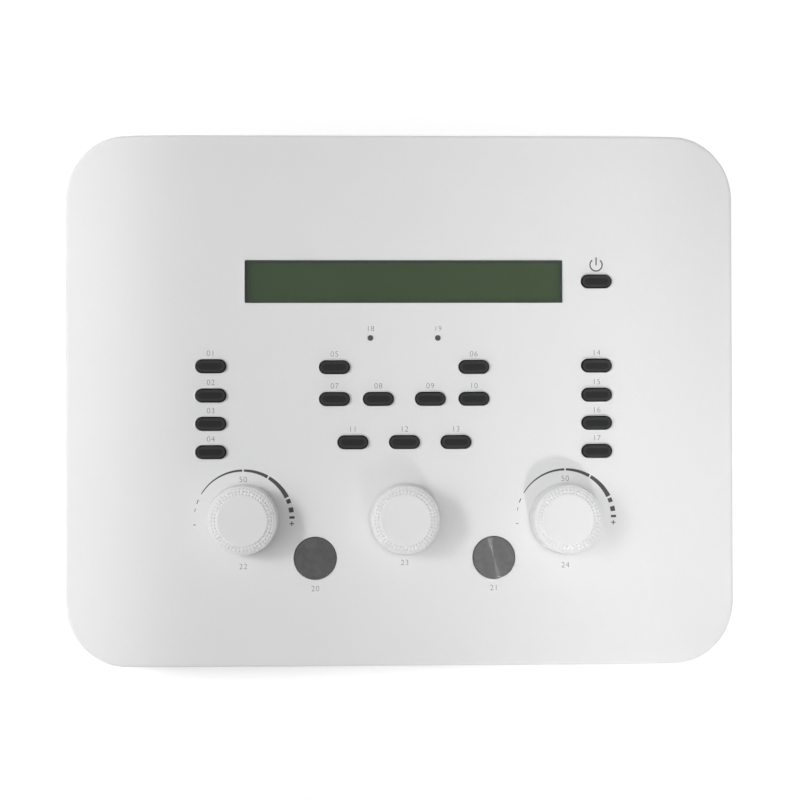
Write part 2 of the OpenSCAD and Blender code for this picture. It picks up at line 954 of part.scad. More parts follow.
module mic_socket() {
    color([0.15, 0.15, 0.15])
        difference() {
            union() {
                translate([mic_x - 4, plate_back_y - 14, main_top_z])
                    cube([8, 13.8, 2 * (mic_z - main_top_z)]);
                rear_space(mic_x, mic_z)
                    translate([0, 0, -plate_t - 1])
                        cylinder(h = plate_t + 1.8, r = 3.5);
            }
            rear_space(mic_x, mic_z)
                translate([0, 0, -plate_t - 13])
                    cylinder(h = 30, d = mic_bore_d);
        }
}

// A square data socket: a metal shell round a plastic tongue
module usb_socket() {
    shell_d = 16;
    color("silver")
        translate([usb_x, plate_face_y + 0.5, main_top_z + 5.45])
            difference() {
                translate([-6, -shell_d, -5.45])
                    cube([12, shell_d, 10.9]);
                difference() {
                    translate([-4.25, -12, -3.9])
                        cube([8.5, 13, 7.8]);
                    translate([-2.8, -13, -1.6])
                        cube([5.6, 12.4, 3.2]);
                }
            }
}

module power_inlet() {
    depth = 14;
    color([0.15, 0.15, 0.15])
        translate([inlet_x, plate_face_y + 0.5, main_top_z + 5.5])
            difference() {
                translate([-4.5, -depth, -5.5])
                    cube([9, depth, 11]);
                rotate([90, 0, 0])
                    difference() {
                        translate([0, 0, -1])
                            cylinder(h = 10.5, d = inlet_bore_d);
                        translate([0, 0, 1])
                            cylinder(h = 10, r = 1);
                    }
            }
}

// ---------- The assembly ----------

top_cover();
base_tub();
rear_plate();
display_window();
lcd_glass();
lcd_bezel();
lcd_board();
front_board();
main_board();
main_board_parts();
ribbon_cable();
key_switches();
lamp_leds();
for (d = DIALS) {
    encoder(d[1]);
    encoder_shaft(d[1]);
    dial(d[1]);
}
for (k = KEYS)
    oblong_key(k[1], k[2]);
for (b = BUTTONS) {
    button_face(b[1]);
    button_plunger(b[1]);
}
for (p = LAMPS)
    light_pipe(p[1]);
for (i = [0 : len(PHONES) - 1])
    phone_socket(phone_x[i]);
socket_nuts();
mic_socket();
usb_socket();
power_inlet();
rubber_feet();
case_screws();
board_screws();
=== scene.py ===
"""The looks of a desktop audiometer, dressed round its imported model.

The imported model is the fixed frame. It gives every place and the slope of the panel. This script adds what
the eye meets: the moulded cover with its rounded openings, the knurled dials, the printed scales and numbers,
the display, the finish of every piece, and a pale studio round the whole.

All lengths are in metres. Panel axes run to the right, up the panel and out of it. Housing axes start in the
middle of the housing, and layout axes in the middle of the controls. The display's row lies OUTER_ROW up
the panel from that middle, and the dials' row as far down from it.
"""

import json
import logging
import math
from dataclasses import dataclass, field
from enum import Enum
from functools import cache
from typing import Callable, Iterable, Sequence

import bmesh
import bpy
from mathutils import Matrix, Vector
from mathutils.geometry import delaunay_2d_cdt


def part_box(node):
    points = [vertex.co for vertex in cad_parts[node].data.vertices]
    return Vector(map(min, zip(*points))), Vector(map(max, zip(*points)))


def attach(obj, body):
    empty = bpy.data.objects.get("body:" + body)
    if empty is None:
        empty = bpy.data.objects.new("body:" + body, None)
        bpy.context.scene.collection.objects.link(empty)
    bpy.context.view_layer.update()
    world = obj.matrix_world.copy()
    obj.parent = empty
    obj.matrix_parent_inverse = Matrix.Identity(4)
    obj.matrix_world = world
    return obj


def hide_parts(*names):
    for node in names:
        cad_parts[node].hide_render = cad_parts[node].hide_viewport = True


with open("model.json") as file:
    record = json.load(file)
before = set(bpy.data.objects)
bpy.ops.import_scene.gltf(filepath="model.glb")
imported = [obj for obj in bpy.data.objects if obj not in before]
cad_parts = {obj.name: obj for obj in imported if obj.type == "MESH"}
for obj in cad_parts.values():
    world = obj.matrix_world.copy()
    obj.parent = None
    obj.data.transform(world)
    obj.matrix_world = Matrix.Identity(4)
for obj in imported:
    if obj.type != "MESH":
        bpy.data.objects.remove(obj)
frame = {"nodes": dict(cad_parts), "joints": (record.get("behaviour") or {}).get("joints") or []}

MM = 0.001
HOUSING = "housing"
OUTER_ROW = 53.25 * MM
log = logging.getLogger("audiometer")


class Side(Enum):
    """Where a dial stands on the panel."""

    LEFT = "left"
    CENTRE = "centre"
    RIGHT = "right"


def link(name: str, data: bpy.types.ID) -> bpy.types.Object:
    """Makes an object of its data and links it to the scene.

    Args:
        name: The object's name.
        data: Its mesh, curve, lamp or camera.

    Returns:
        The object.
    """
    piece = bpy.data.objects.new(name, data)
    bpy.context.scene.collection.objects.link(piece)
    return piece


# ---------------------------------------------------------------- the panel's axes


@dataclass(frozen=True)
class PanelSpace:
    """The sloping panel's own axes, in metres.

    Attributes:
        matrix: Takes a point in panel axes to the object's frame.
        layout_x: How far the middle of the controls lies right of the housing's middle.
    """

    matrix: Matrix
    layout_x: float

    @classmethod
    def from_joints(cls, joints: Sequence[dict], dial_row: float) -> "PanelSpace":
        """Finds the panel from the middle dial's axis, which stands square on it.

        Args:
            joints: The frame's joints.
            dial_row: How far the row of dials lies in front of the panel's middle.

        Returns:
            The panel's axes.
        """
        turn = next(j for j in joints if j["name"] == "centre_dial_turn")
        normal = Vector(turn["axis"]).normalized()
        right = Vector((1, 0, 0))
        up = normal.cross(right).normalized()
        foot = Vector(turn["pos_m"])
        middle = foot - Vector((foot.x, 0, 0)) + up * dial_row
        turned = Matrix((right, up, normal)).transposed().to_4x4()
        return cls(Matrix.Translation(middle) @ turned, foot.x)

    def at(self, x: float, y: float, z: float = 0.0) -> Matrix:
        """Gives the matrix of a spot on the control layout."""
        return self.matrix @ Matrix.Translation((self.layout_x + x, y, z))

    def measure(self, node: str, above: float = -1.0) -> tuple[Vector, Vector]:
        """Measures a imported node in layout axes.

        Args:
            node: The node's name.
            above: Only points higher than this over the panel count.

        Returns:
            The lowest and the highest corner.
        """
        back = self.at(0, 0).inverted()
        points = [back @ v.co for v in frame["nodes"][node].data.vertices]
        kept = [p for p in points if p.z > above]
        low = Vector(min(p[i] for p in kept) for i in range(3))
        return low, Vector(max(p[i] for p in kept) for i in range(3))

    def spot(self, node: str) -> tuple[float, float]:
        """Gives the middle of what a node shows above the panel, in layout axes."""
        low, high = self.measure(node, above=0.0)
        return (low.x + high.x) / 2, (low.y + high.y) / 2


# ---------------------------------------------------------------- outlines and skins

Outline = list[tuple[float, float]]


def arc(cx: float, cy: float, r: float, start: float, end: float, steps: int) -> Outline:
    """Gives points along an arc, both ends included.

    Args:
        cx: The centre's x.
        cy: The centre's y.
        r: The radius.
        start: The first angle, in degrees.
        end: The last angle, in degrees.
        steps: The number of chords.

    Returns:
        The points.
    """
    turn = [math.radians(start + (end - start) * i / steps) for i in range(steps + 1)]
    return [(cx + r * math.cos(a), cy + r * math.sin(a)) for a in turn]


def circle_outline(cx: float, cy: float, r: float, steps: int = 64) -> Outline:
    """Gives a full circle, with no point twice."""
    return arc(cx, cy, r, 0, 360, steps)[:-1]


def obround_outline(cx: float, cy: float, length: float, width: float, steps: int = 16) -> Outline:
    """Gives a lying obround: two half circles joined by straight runs."""
    r = width / 2
    half = length / 2 - r
    return arc(cx + half, cy, r, -90, 90, steps) + arc(cx - half, cy, r, 90, 270, steps)


def rect_outline(cx: float, cy: float, w: float, h: float, r: float, steps: int = 6) -> Outline:
    """Gives a rectangle with rounded corners."""
    x, y = w / 2 - r, h / 2 - r
    corners = [(x, -y, -90), (x, y, 0), (-x, y, 90), (-x, -y, 180)]
    return [p for dx, dy, a in corners for p in arc(cx + dx, cy + dy, r, a, a + 90, steps)]


def rounding(r: float, turns: Iterable[float]) -> Outline:
    """Gives points on a rounded edge, as their distances from the two faces that it joins.

    Args:
        r: The radius of the edge.
        turns: How far round each point lies, in degrees from 0 to 90.

    Returns:
        The two distances of each point; the first shrinks from r to 0 and the second grows from 0 to r.
    """
    return [(r * (1 - math.sin(a)), r * (1 - math.cos(a))) for a in map(math.radians, turns)]


def quarter(steps: int) -> list[float]:
    """Gives even turns from 0 to 90 degrees, both ends included."""
    return [90 * i / steps for i in range(steps + 1)]


class Skin:
    """Collects the points and faces of one mesh, in one set of axes."""

    def __init__(self) -> None:
        """Starts with nothing."""
        self.points: list[tuple[float, float, float]] = []
        self.faces: list[tuple[int, ...]] = []

    def ring(self, outline: Outline, height: float | Callable[[float, float], float]) -> list[int]:
        """Adds a ring of points and gives their numbers.

        Args:
            outline: The ring in plan.
            height: Its height, or a function of x and y that gives it.

        Returns:
            The new points' numbers.
        """
        rise = height if callable(height) else lambda x, y: height
        first = len(self.points)
        self.points += [(x, y, rise(x, y)) for x, y in outline]
        return list(range(first, len(self.points)))

    def stack(self, *rings: list[int]) -> None:
        """Joins each ring to the next one up, of the same count, with faces that face outwards."""
        for low, high in zip(rings, rings[1:]):
            for i in range(len(low)):
                j = (i + 1) % len(low)
                self.faces.append((low[i], low[j], high[j], high[i]))

    def cap(self, ring: list[int], up: bool = True) -> None:
        """Closes a ring with one face."""
        self.faces.append(tuple(ring if up else reversed(ring)))

    def sheet(self, outer: list[int], holes: Sequence[list[int]], up: bool = True) -> None:
        """Fills the space between an outer ring and its holes.

        Args:
            outer: The outer ring.
            holes: The rings of the holes in it.
            up: Whether the sheet faces up.
        """
        used = list(outer) + [i for hole in holes for i in hole]
        place = {index: spot for spot, index in enumerate(used)}
        flat = [Vector(self.points[i][:2]) for i in used]
        loops = [[place[i] for i in loop] for loop in (outer, *holes)]
        inside_with_holes = 2
        _, _, faces, origins, _, _ = delaunay_2d_cdt(flat, [], loops, inside_with_holes, 1e-9)
        known = [used[ids[0]] if ids else -1 for ids in origins]
        if -1 in known:
            raise ValueError(f"a sheet needed {known.count(-1)} points that its rings lack")
        for face in faces:
            corners = [known[i] for i in face]
            a, b, c = (Vector(self.points[i][:2]) for i in corners[:3])
            counter_clockwise = (b - a).cross(c - a) > 0
            self.faces.append(tuple(corners if counter_clockwise == up else reversed(corners)))

    def build(self, name: str, matrix: Matrix) -> bpy.types.Object:
        """Makes the mesh object.

        Args:
            name: The piece's name.
            matrix: Takes the points to the object's frame.

        Returns:
            The new object, linked to the scene.
        """
        mesh = bpy.data.meshes.new(name)
        mesh.from_pydata(self.points, [], self.faces)
        mesh.transform(matrix)
        mesh.validate()
        return link(name, mesh)


def lathe(skin: Skin, profile: Sequence[tuple[float, float]], segments: int,
          dent: Callable[[float, float, float], float] | None = None) -> None:
    """Turns a profile about the z axis.

    Args:
        skin: Takes the new points and faces.
        profile: Radius and height of each ring, from the bottom of the outside to the top.
            A ring of no radius closes the form with one point.
        segments: Points in each ring.
        dent: Gives how deep the surface is pressed in at a radius, height and angle.
    """
    rings: list[list[int]] = []
    for r, z in profile:
        if r <= 0:
            skin.points.append((0.0, 0.0, z))
            rings.append([len(skin.points) - 1])
            continue
        ring = []
        for i in range(segments):
            a = 2 * math.pi * i / segments
            sink = dent(r, z, a) if dent else 0.0
            skin.points.append((r * math.cos(a), r * math.sin(a), z - sink))
            ring.append(len(skin.points) - 1)
        rings.append(ring)
    for low, high in zip(rings, rings[1:]):
        if len(low) == 1:
            skin.faces += [(low[0], high[(i + 1) % segments], high[i]) for i in range(segments)]
        elif len(high) == 1:
            skin.faces += [(low[i], low[(i + 1) % segments], high[0]) for i in range(segments)]
        else:
            skin.stack(low, high)


def soften(piece: bpy.types.Object, sharp_deg: float = 32.0) -> None:
    """Shades a piece smoothly, keeps its sharp edges and lets broad faces rule the normals.

    Args:
        piece: The piece.
        sharp_deg: The angle from which an edge stays sharp.
    """
    for polygon in piece.data.polygons:
        polygon.use_smooth = True
    piece.data.set_sharp_from_angle(angle=math.radians(sharp_deg))
    weigh = piece.modifiers.new("weighted_normals", "WEIGHTED_NORMAL")
    weigh.keep_sharp = True
    weigh.weight = 50


# ---------------------------------------------------------------- shader building

RGBA = tuple[float, float, float, float]
Tone = float | tuple[float, float, float]
ORIGIN = (0.0, 0.0, 0.0)
UNIT = (0.0, 1.0)


def rgba(tone: Tone, factor: float = 1.0) -> RGBA:
    """Turns a linear grey or colour, made brighter by a factor, into four channels."""
    r, g, b = (tone, tone, tone) if isinstance(tone, float) else tone
    return (r * factor, g * factor, b * factor, 1.0)


def empty_tree(owner: bpy.types.Material | bpy.types.World) -> bpy.types.NodeTree:
    """Gives a material or a world a node tree with nothing in it.

    Args:
        owner: The material or the world.

    Returns:
        Its tree.
    """
    owner.use_nodes = True
    owner.node_tree.nodes.clear()
    return owner.node_tree


class Graph:
    """Adds nodes to one node tree and joins them."""

    def __init__(self, tree: bpy.types.NodeTree) -> None:
        """Starts on an existing tree."""
        self.tree = tree
        self.count = 0

    def feed(self, socket: bpy.types.NodeSocket, value: object) -> None:
        """Joins another node's output to an input, or gives the input a value.

        Args:
            socket: The input.
            value: The output or the value.
        """
        if isinstance(value, bpy.types.NodeSocket):
            self.tree.links.new(value, socket)
        else:
            socket.default_value = value

    def set(self, node: bpy.types.Node, **inputs: object) -> None:
        """Feeds inputs of a node by their names, with an underscore for each space."""
        for key, value in inputs.items():
            self.feed(node.inputs[key.replace("_", " ")], value)

    def add(self, kind: str, *values: object, **settings: object) -> bpy.types.Node:
        """Adds a node, sets it up and feeds its inputs.

        Args:
            kind: The node's type.
            *values: Values or outputs for its first inputs, in their order.
            **settings: Attributes, or values or outputs for the inputs that have these names.

        Returns:
            The new node.
        """
        node = self.tree.nodes.new(kind)
        node.location = (self.count * 40, -self.count * 30)
        self.count += 1
        for socket, value in zip(node.inputs, values):
            self.feed(socket, value)
        for key, value in settings.items():
            if hasattr(node, key):
                setattr(node, key, value)
            else:
                self.set(node, **{key: value})
        return node

    def math(self, operation: str, *values: object) -> bpy.types.NodeSocket:
        """Adds a Math node on outputs or numbers and gives its result."""
        return self.add("ShaderNodeMath", *values, operation=operation).outputs[0]

    def vector(self, operation: str, *values: object) -> bpy.types.bpy_prop_collection:
        """Adds a Vector Math node on outputs and gives all that it puts out."""
        return self.add("ShaderNodeVectorMath", *values, operation=operation).outputs

    def remap(self, value: bpy.types.NodeSocket, source: tuple[float, float],
              target: tuple[float, float]) -> bpy.types.NodeSocket:
        """Maps one span of values to another, held at both ends, and gives the result."""
        return self.add("ShaderNodeMapRange", value, *source, *target).outputs["Result"]

    def bump(self, height: bpy.types.NodeSocket, strength: float, distance: float) -> bpy.types.NodeSocket:
        """Turns a height into a normal and gives it."""
        node = self.add("ShaderNodeBump", Strength=strength, Distance=distance, Height=height)
        return node.outputs["Normal"]

    def mix(self, share: object, first: object, second: object, blend: str = "MIX") -> bpy.types.NodeSocket:
        """Mixes two colours.

        Args:
            share: How far the second one covers the first, from 0 to 1.
            first: The first colour.
            second: The second colour.
            blend: How the second one goes over the first.

        Returns:
            The mixed colour.
        """
        node = self.add("ShaderNodeMix", data_type="RGBA", blend_type=blend, Factor=share)
        first_colour_in, second_colour_in, colour_out = 6, 7, 2
        self.feed(node.inputs[first_colour_in], first)
        self.feed(node.inputs[second_colour_in], second)
        return node.outputs[colour_out]


class EffectGroup(Graph):
    """A shader node group in the making, with named inputs and outputs."""

    def __init__(self, name: str, inputs: dict[str, float | tuple], outputs: Sequence[str]) -> None:
        """Starts the group.

        Args:
            name: The group's name.
            inputs: The default of each input: one number, a place of three or a colour of four.
            outputs: The name of each output, which is a number unless it is called Color.
        """
        super().__init__(bpy.data.node_groups.new(name, "ShaderNodeTree"))
        kinds = {3: "NodeSocketVector", 4: "NodeSocketColor"}
        for label, default in inputs.items():
            kind = "NodeSocketFloat" if isinstance(default, float) else kinds[len(default)]
            socket = self.tree.interface.new_socket(name=label, in_out="INPUT", socket_type=kind)
            socket.default_value = default
        for label in outputs:
            kind = "NodeSocketColor" if label == "Color" else "NodeSocketFloat"
            self.tree.interface.new_socket(name=label, in_out="OUTPUT", socket_type=kind)
        self.source = self.add("NodeGroupInput").outputs
        self.sink = self.add("NodeGroupOutput")

    def from_centre(self) -> bpy.types.NodeSocket:
        """Gives how far the group's Vector lies from its Centre, in each axis."""
        return self.vector("SUBTRACT", self.source["Vector"], self.source["Centre"])["Vector"]

    def finish(self, **outputs: object) -> bpy.types.NodeTree:
        """Feeds the group's outputs and gives the group."""
        self.set(self.sink, **outputs)
        return self.tree


class Effects:
    """The shader groups that finishes are made of, each made once."""

    @staticmethod
    @cache
    def moulded_grain() -> bpy.types.NodeTree:
        """Gives the fine spark texture of a moulding: a height and a fleck mask."""
        g = EffectGroup("MouldedGrain", {"Vector": ORIGIN, "Grain Scale": 2500.0}, ("Height", "Fleck"))
        where = {"Vector": g.source["Vector"], "Scale": g.source["Grain Scale"]}
        fine = g.add("ShaderNodeTexNoise", Detail=3.0, Roughness=0.6, **where).outputs["Fac"]
        pits = g.add("ShaderNodeTexVoronoi", feature="F1", **where).outputs["Distance"]
        height = g.math("ADD", g.math("MULTIPLY", fine, 0.6), g.math("MULTIPLY", pits, 0.4))
        return g.finish(Height=height, Fleck=fine)

    @staticmethod
    @cache
    def tone_drift() -> bpy.types.NodeTree:
        """Gives a colour that drifts slowly over a surface, and the mask that it follows."""
        inputs = {"Vector": ORIGIN, "Tone": rgba(0.8), "Second Tone": rgba(0.7), "Patch Scale": 20.0,
                  "Amount": 0.3}
        g = EffectGroup("ToneDrift", inputs, ("Color", "Mask"))
        mask = g.add("ShaderNodeTexNoise", Detail=4.0, Roughness=0.55, Vector=g.source["Vector"],
                     Scale=g.source["Patch Scale"]).outputs["Fac"]
        share = g.math("MULTIPLY", mask, g.source["Amount"])
        return g.finish(Color=g.mix(share, g.source["Tone"], g.source["Second Tone"]), Mask=mask)

    @staticmethod
    @cache
    def turned_rings() -> bpy.types.NodeTree:
        """Gives the height of the fine rings that a lathe leaves round an axis."""
        inputs = {"Vector": ORIGIN, "Centre": ORIGIN, "Ring Pitch": 0.0004}
        g = EffectGroup("TurnedRings", inputs, ("Height",))
        radius = g.vector("LENGTH", g.from_centre())["Value"]
        steps = g.math("DIVIDE", radius, g.source["Ring Pitch"])
        wander = g.add("ShaderNodeTexNoise", noise_dimensions="1D", Scale=1.0, Detail=3.0, Roughness=0.7,
                       W=steps)
        return g.finish(Height=wander.outputs["Fac"])

    @staticmethod
    @cache
    def shade_band_mask() -> bpy.types.NodeTree:
        """Gives a mask that is 1 outside an oblong in two chosen axes, where a dark band is painted as shade.
        """
        inputs = {"Vector": ORIGIN, "Centre": ORIGIN, "Up": (0.0, 1.0, 0.0), "Half Across": 0.07,
                  "Half Up": 0.009}
        g = EffectGroup("PaintedShadeBand", inputs, ("Mask",))
        offset = g.from_centre()
        across = g.add("ShaderNodeSeparateXYZ", Vector=offset).outputs["X"]
        up = g.vector("DOT_PRODUCT", offset, g.source["Up"])["Value"]
        soft = 0.1 * MM
        past = [g.remap(g.math("SUBTRACT", g.math("ABSOLUTE", place), half), (-soft, soft), UNIT)
                for place, half in ((across, g.source["Half Across"]), (up, g.source["Half Up"]))]
        return g.finish(Mask=g.math("MAXIMUM", *past))


class Paint(Graph):
    """A new material's nodes, with a Principled shader among them."""

    def __init__(self, name: str) -> None:
        """Starts the material.

        Args:
            name: The material's name.
        """
        self.material = bpy.data.materials.new(name)
        super().__init__(empty_tree(self.material))
        self.shader = self.add("ShaderNodeBsdfPrincipled")
        self.add("ShaderNodeOutputMaterial", Surface=self.shader.outputs["BSDF"])
        self.place = self.add("ShaderNodeTexCoord").outputs["Object"]

    def effect(self, group: bpy.types.NodeTree, **inputs: object) -> bpy.types.bpy_prop_collection:
        """Adds a shared effect at the object's own coordinates and gives all that it puts out."""
        return self.add("ShaderNodeGroup", node_tree=group, Vector=self.place, **inputs).outputs

    def grain(self, scale: float, depth: float) -> bpy.types.NodeSocket:
        """Adds moulded grain and gives its normal."""
        return self.bump(self.effect(Effects.moulded_grain(), Grain_Scale=scale)["Height"], 0.6, depth)

    def drift(self, tone: RGBA, second: RGBA, scale: float, amount: float) -> bpy.types.bpy_prop_collection:
        """Adds a tone that drifts to a second one and gives its colour and its mask."""
        return self.effect(Effects.tone_drift(), Tone=tone, Second_Tone=second, Patch_Scale=scale,
                           Amount=amount)

    def finish(self, **inputs: object) -> bpy.types.Material:
        """Feeds the Principled shader and gives the material."""
        self.set(self.shader, **inputs)
        return self.material


# ---------------------------------------------------------------- finishes


@dataclass(frozen=True)
class Grained:
    """What grained finishes share: a fine grain, and a tone and a roughness that drift.

    Attributes:
        name: The material's name.
        tone: Its grey or its colour.
        roughness: Its mean roughness.
        grain_scale: How fine its grain is.
        grain_depth: How deep its grain is, in metres.
        patch_scale: How fine the drift is.
        drift_share: How far the tone drifts to the second one.
        second_factor: The second tone's brightness, as a factor of the first one's.
        swing: How far the roughness drifts down and up.
        gloss: The strength of its shine.
        metallic: 1 for metal.
    """

    name: str
    tone: Tone
    roughness: float = 0.5
    grain_scale: float = 2600.0
    grain_depth: float = 0.00004
    patch_scale: float = 28.0
    drift_share: float = 0.04
    second_factor: float = 0.8
    swing: tuple[float, float] = (0.04, 0.04)
    gloss: float = 0.4
    metallic: float = 0.0

    def second(self) -> RGBA:
        """Gives the tone to which the first one drifts."""
        return rgba(self.tone, self.second_factor)

    def build(self) -> bpy.types.Material:
        """Makes the material."""
        paint = Paint(self.name)
        drift = paint.drift(rgba(self.tone), self.second(), self.patch_scale, self.drift_share)
        down, up = self.swing
        rough = paint.remap(drift["Mask"], UNIT, (self.roughness - down, self.roughness + up))
        return paint.finish(Base_Color=drift["Color"], Normal=paint.grain(self.grain_scale, self.grain_depth),
                            Roughness=rough, Specular_IOR_Level=self.gloss, Metallic=self.metallic)


@dataclass(frozen=True)
class MouldedPlastic(Grained):
    """Satin moulded plastic with a fine spark grain and a faint drift in its tone."""


@dataclass(frozen=True)
class KeyRubber(Grained):
    """The dense dark plastic of the keys, with pale flecks of dust in its grain.

    Attributes:
        fleck: The grey of its flecks.
    """

    fleck: float = 0.03
    grain_scale: float = 3600.0
    grain_depth: float = 0.00005
    patch_scale: float = 900.0
    drift_share: float = 0.5
    swing: tuple[float, float] = (0.06, 0.08)
    gloss: float = 0.14

    def second(self) -> RGBA:
        """Gives the tone of the flecks."""
        return rgba(self.fleck)


@dataclass(frozen=True)
class PlatedMetal(Grained):
    """Bright plated metal with faint handling marks."""

    tone: Tone = (0.62, 0.62, 0.63)
    roughness: float = 0.3
    grain_scale: float = 4000.0
    grain_depth: float = 0.00001
    patch_scale: float = 300.0
    drift_share: float = 0.5
    second_factor: float = 0.7
    swing: tuple[float, float] = (0.08, 0.12)
    gloss: float = 0.5
    metallic: float = 1.0


@dataclass(frozen=True)
class PrintedInk(Grained):
    """Screen-printed ink that lets a little of the panel's grain through."""

    roughness: float = 0.55
    grain_depth: float = 0.00002
    patch_scale: float = 1800.0
    drift_share: float = 0.4
    second_factor: float = 1.25
    swing: tuple[float, float] = (0.0, 0.0)
    gloss: float = 0.3


@dataclass(frozen=True)
class SpunMetal:
    """Dark metal faced on a lathe, whose fine rings draw the light out into a streak.

    Attributes:
        name: The material's name.
        tone: Its grey.
        centre: The middle of the face, in the object's frame.
        roughness: How far it scatters light.
        streak: How strongly it draws light out across its rings.
        ring_pitch: The mean width of a ring.
        blotch_scale: How fine its blotches are.
        span: The darkest and the brightest tone, as factors of its grey.
    """

    name: str
    tone: float
    centre: tuple[float, float, float]
    roughness: float
    streak: float
    ring_pitch: float = 0.35 * MM
    blotch_scale: float = 380.0
    span: tuple[float, float] = (0.5, 1.55)

    def build(self) -> bpy.types.Material:
        """Makes the material."""
        paint = Paint(self.name)
        rings = paint.effect(Effects.turned_rings(), Centre=self.centre, Ring_Pitch=self.ring_pitch)["Height"]
        blotches = paint.effect(Effects.tone_drift(), Patch_Scale=self.blotch_scale)["Mask"]
        share = paint.math("MULTIPLY", paint.math("ADD", rings, blotches), 0.5)
        dark, bright = (rgba((self.tone, self.tone, self.tone * 1.02), factor) for factor in self.span)
        tangent = paint.add("ShaderNodeTangent", direction_type="RADIAL", axis="Z").outputs["Tangent"]
        quarter_turn = 0.25
        return paint.finish(Base_Color=paint.mix(share, dark, bright), Metallic=1.0, Roughness=self.roughness,
                            Normal=paint.bump(rings, 0.25, 0.00002), Tangent=tangent,
                            Anisotropic=self.streak, Anisotropic_Rotation=quarter_turn)


@dataclass(frozen=True)
class LiquidCrystal:
    """A blank display: a green field with a cooler left end painted as a reflection and darker ends painted
    as shade.

    Attributes:
        name: The material's name.
        span: The x of its left and of its right end, in the object's frame.
        stops: Its colours along the display, each after its share of the length.
    """

    name: str
    span: tuple[float, float]
    # The cool first stops are a painted reflection, and the darker stops at both ends are painted shade.
    stops: tuple = (
        (0.0, (0.150, 0.200, 0.170)), (0.015, (0.185, 0.290, 0.200)), (0.12, (0.205, 0.365, 0.190)),
        (0.26, (0.215, 0.385, 0.170)), (0.36, (0.190, 0.335, 0.125)), (0.97, (0.196, 0.325, 0.121)),
        (1.0, (0.165, 0.215, 0.135)),
    )

    def build(self) -> bpy.types.Material:
        """Makes the material."""
        paint = Paint(self.name)
        across = paint.add("ShaderNodeSeparateXYZ", Vector=paint.place).outputs["X"]
        ramp = paint.add("ShaderNodeValToRGB", Fac=paint.remap(across, self.span, UNIT))
        elements = ramp.color_ramp.elements
        while len(elements) < len(self.stops):
            elements.new(0.5)
        for element, (at, colour) in zip(elements, self.stops):
            element.position = at
            element.color = rgba(colour)
        fleck = paint.math("ADD", paint.effect(Effects.moulded_grain(), Grain_Scale=1500.0)["Fleck"], 0.5)
        grey = paint.add("ShaderNodeCombineColor", fleck, fleck, fleck).outputs["Color"]
        colour = paint.mix(0.25, ramp.outputs["Color"], grey, blend="MULTIPLY")
        return paint.finish(Base_Color=colour, Roughness=0.6, Specular_IOR_Level=0.2)


@dataclass(frozen=True)
class ClearPanel:
    """The green-tinted clear window over the display, with a dark band inside its edge that is painted shade.

    Attributes:
        name: The material's name.
        centre: The middle of the clear field, in the object's frame.
        up: The panel's upward axis.
        half: Half the clear field's length and height.
        tint: The tone of the clear field.
        recess_shade_tone: The tone of the painted shade band.
        cover: How far the clear field and the painted shade band hide what is behind them.
    """

    name: str
    centre: tuple[float, float, float]
    up: tuple[float, float, float]
    half: tuple[float, float]
    tint: tuple[float, float, float] = (0.053, 0.086, 0.041)
    recess_shade_tone: tuple[float, float, float] = (0.034, 0.040, 0.038)
    cover: tuple[float, float] = (0.55, 0.92)

    def build(self) -> bpy.types.Material:
        """Makes the material."""
        paint = Paint(self.name)
        across, up = self.half
        shade_band = paint.effect(Effects.shade_band_mask(), Centre=self.centre, Up=self.up, Half_Across=across,
                            Half_Up=up)["Mask"]
        clear = paint.drift(rgba(self.tint), rgba(self.tint, 1.15), 60.0, 0.4)["Color"]
        # Outside the clear field the window is dark and nearly opaque: this is painted shade of the recess.
        return paint.finish(Base_Color=paint.mix(shade_band, clear, rgba(self.recess_shade_tone)),
                            Alpha=paint.remap(shade_band, UNIT, self.cover), Roughness=0.25, IOR=1.45)


@dataclass(frozen=True)
class BoardLacquer:
    """Green lacquer over the tracks of a circuit board."""

    name: str = "board_lacquer"

    def build(self) -> bpy.types.Material:
        """Makes the material."""
        paint = Paint(self.name)
        tracks = paint.add("ShaderNodeTexBrick", Vector=paint.place, Scale=220.0, Mortar_Size=0.03,
                           Color1=rgba((0.012, 0.11, 0.05)), Color2=rgba((0.015, 0.13, 0.06)),
                           Mortar=rgba((0.03, 0.2, 0.09))).outputs
        return paint.finish(Base_Color=tracks["Color"], Normal=paint.bump(tracks["Fac"], 0.3, 0.00003),
                            Roughness=0.35, Coat_Weight=0.4)


@dataclass(frozen=True)
class RibbonStrands:
    """Grey ribbon cable with a groove between its cores and one red core.

    Attributes:
        name: The material's name.
        core_pitch: The width of a core.
        red_below: The x under which the cable is red, in the object's frame.
    """

    name: str = "ribbon_strands"
    core_pitch: float = 1.27 * MM
    red_below: float = -11.8 * MM

    def build(self) -> bpy.types.Material:
        """Makes the material."""
        paint = Paint(self.name)
        across = paint.add("ShaderNodeSeparateXYZ", Vector=paint.place).outputs["X"]
        wave = paint.math("SINE", paint.math("MULTIPLY", across, 2 * math.pi / self.core_pitch))
        red = paint.math("LESS_THAN", across, self.red_below)
        colour = paint.mix(red, rgba(0.4), rgba((0.5, 0.03, 0.03)))
        return paint.finish(Base_Color=colour, Normal=paint.bump(wave, 0.8, 0.0002), Roughness=0.5)


def dress(names: Iterable[str], material: bpy.types.Material, sharp_deg: float = 32.0) -> None:
    """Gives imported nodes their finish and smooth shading.

    Args:
        names: The nodes.
        material: Their finish.
        sharp_deg: The angle from which an edge stays sharp.
    """
    for name in names:
        piece = frame["nodes"][name]
        piece.data.materials.clear()
        piece.data.materials.append(material)
        soften(piece, sharp_deg)
        log.info("dressed node %s in %s", name, material.name)


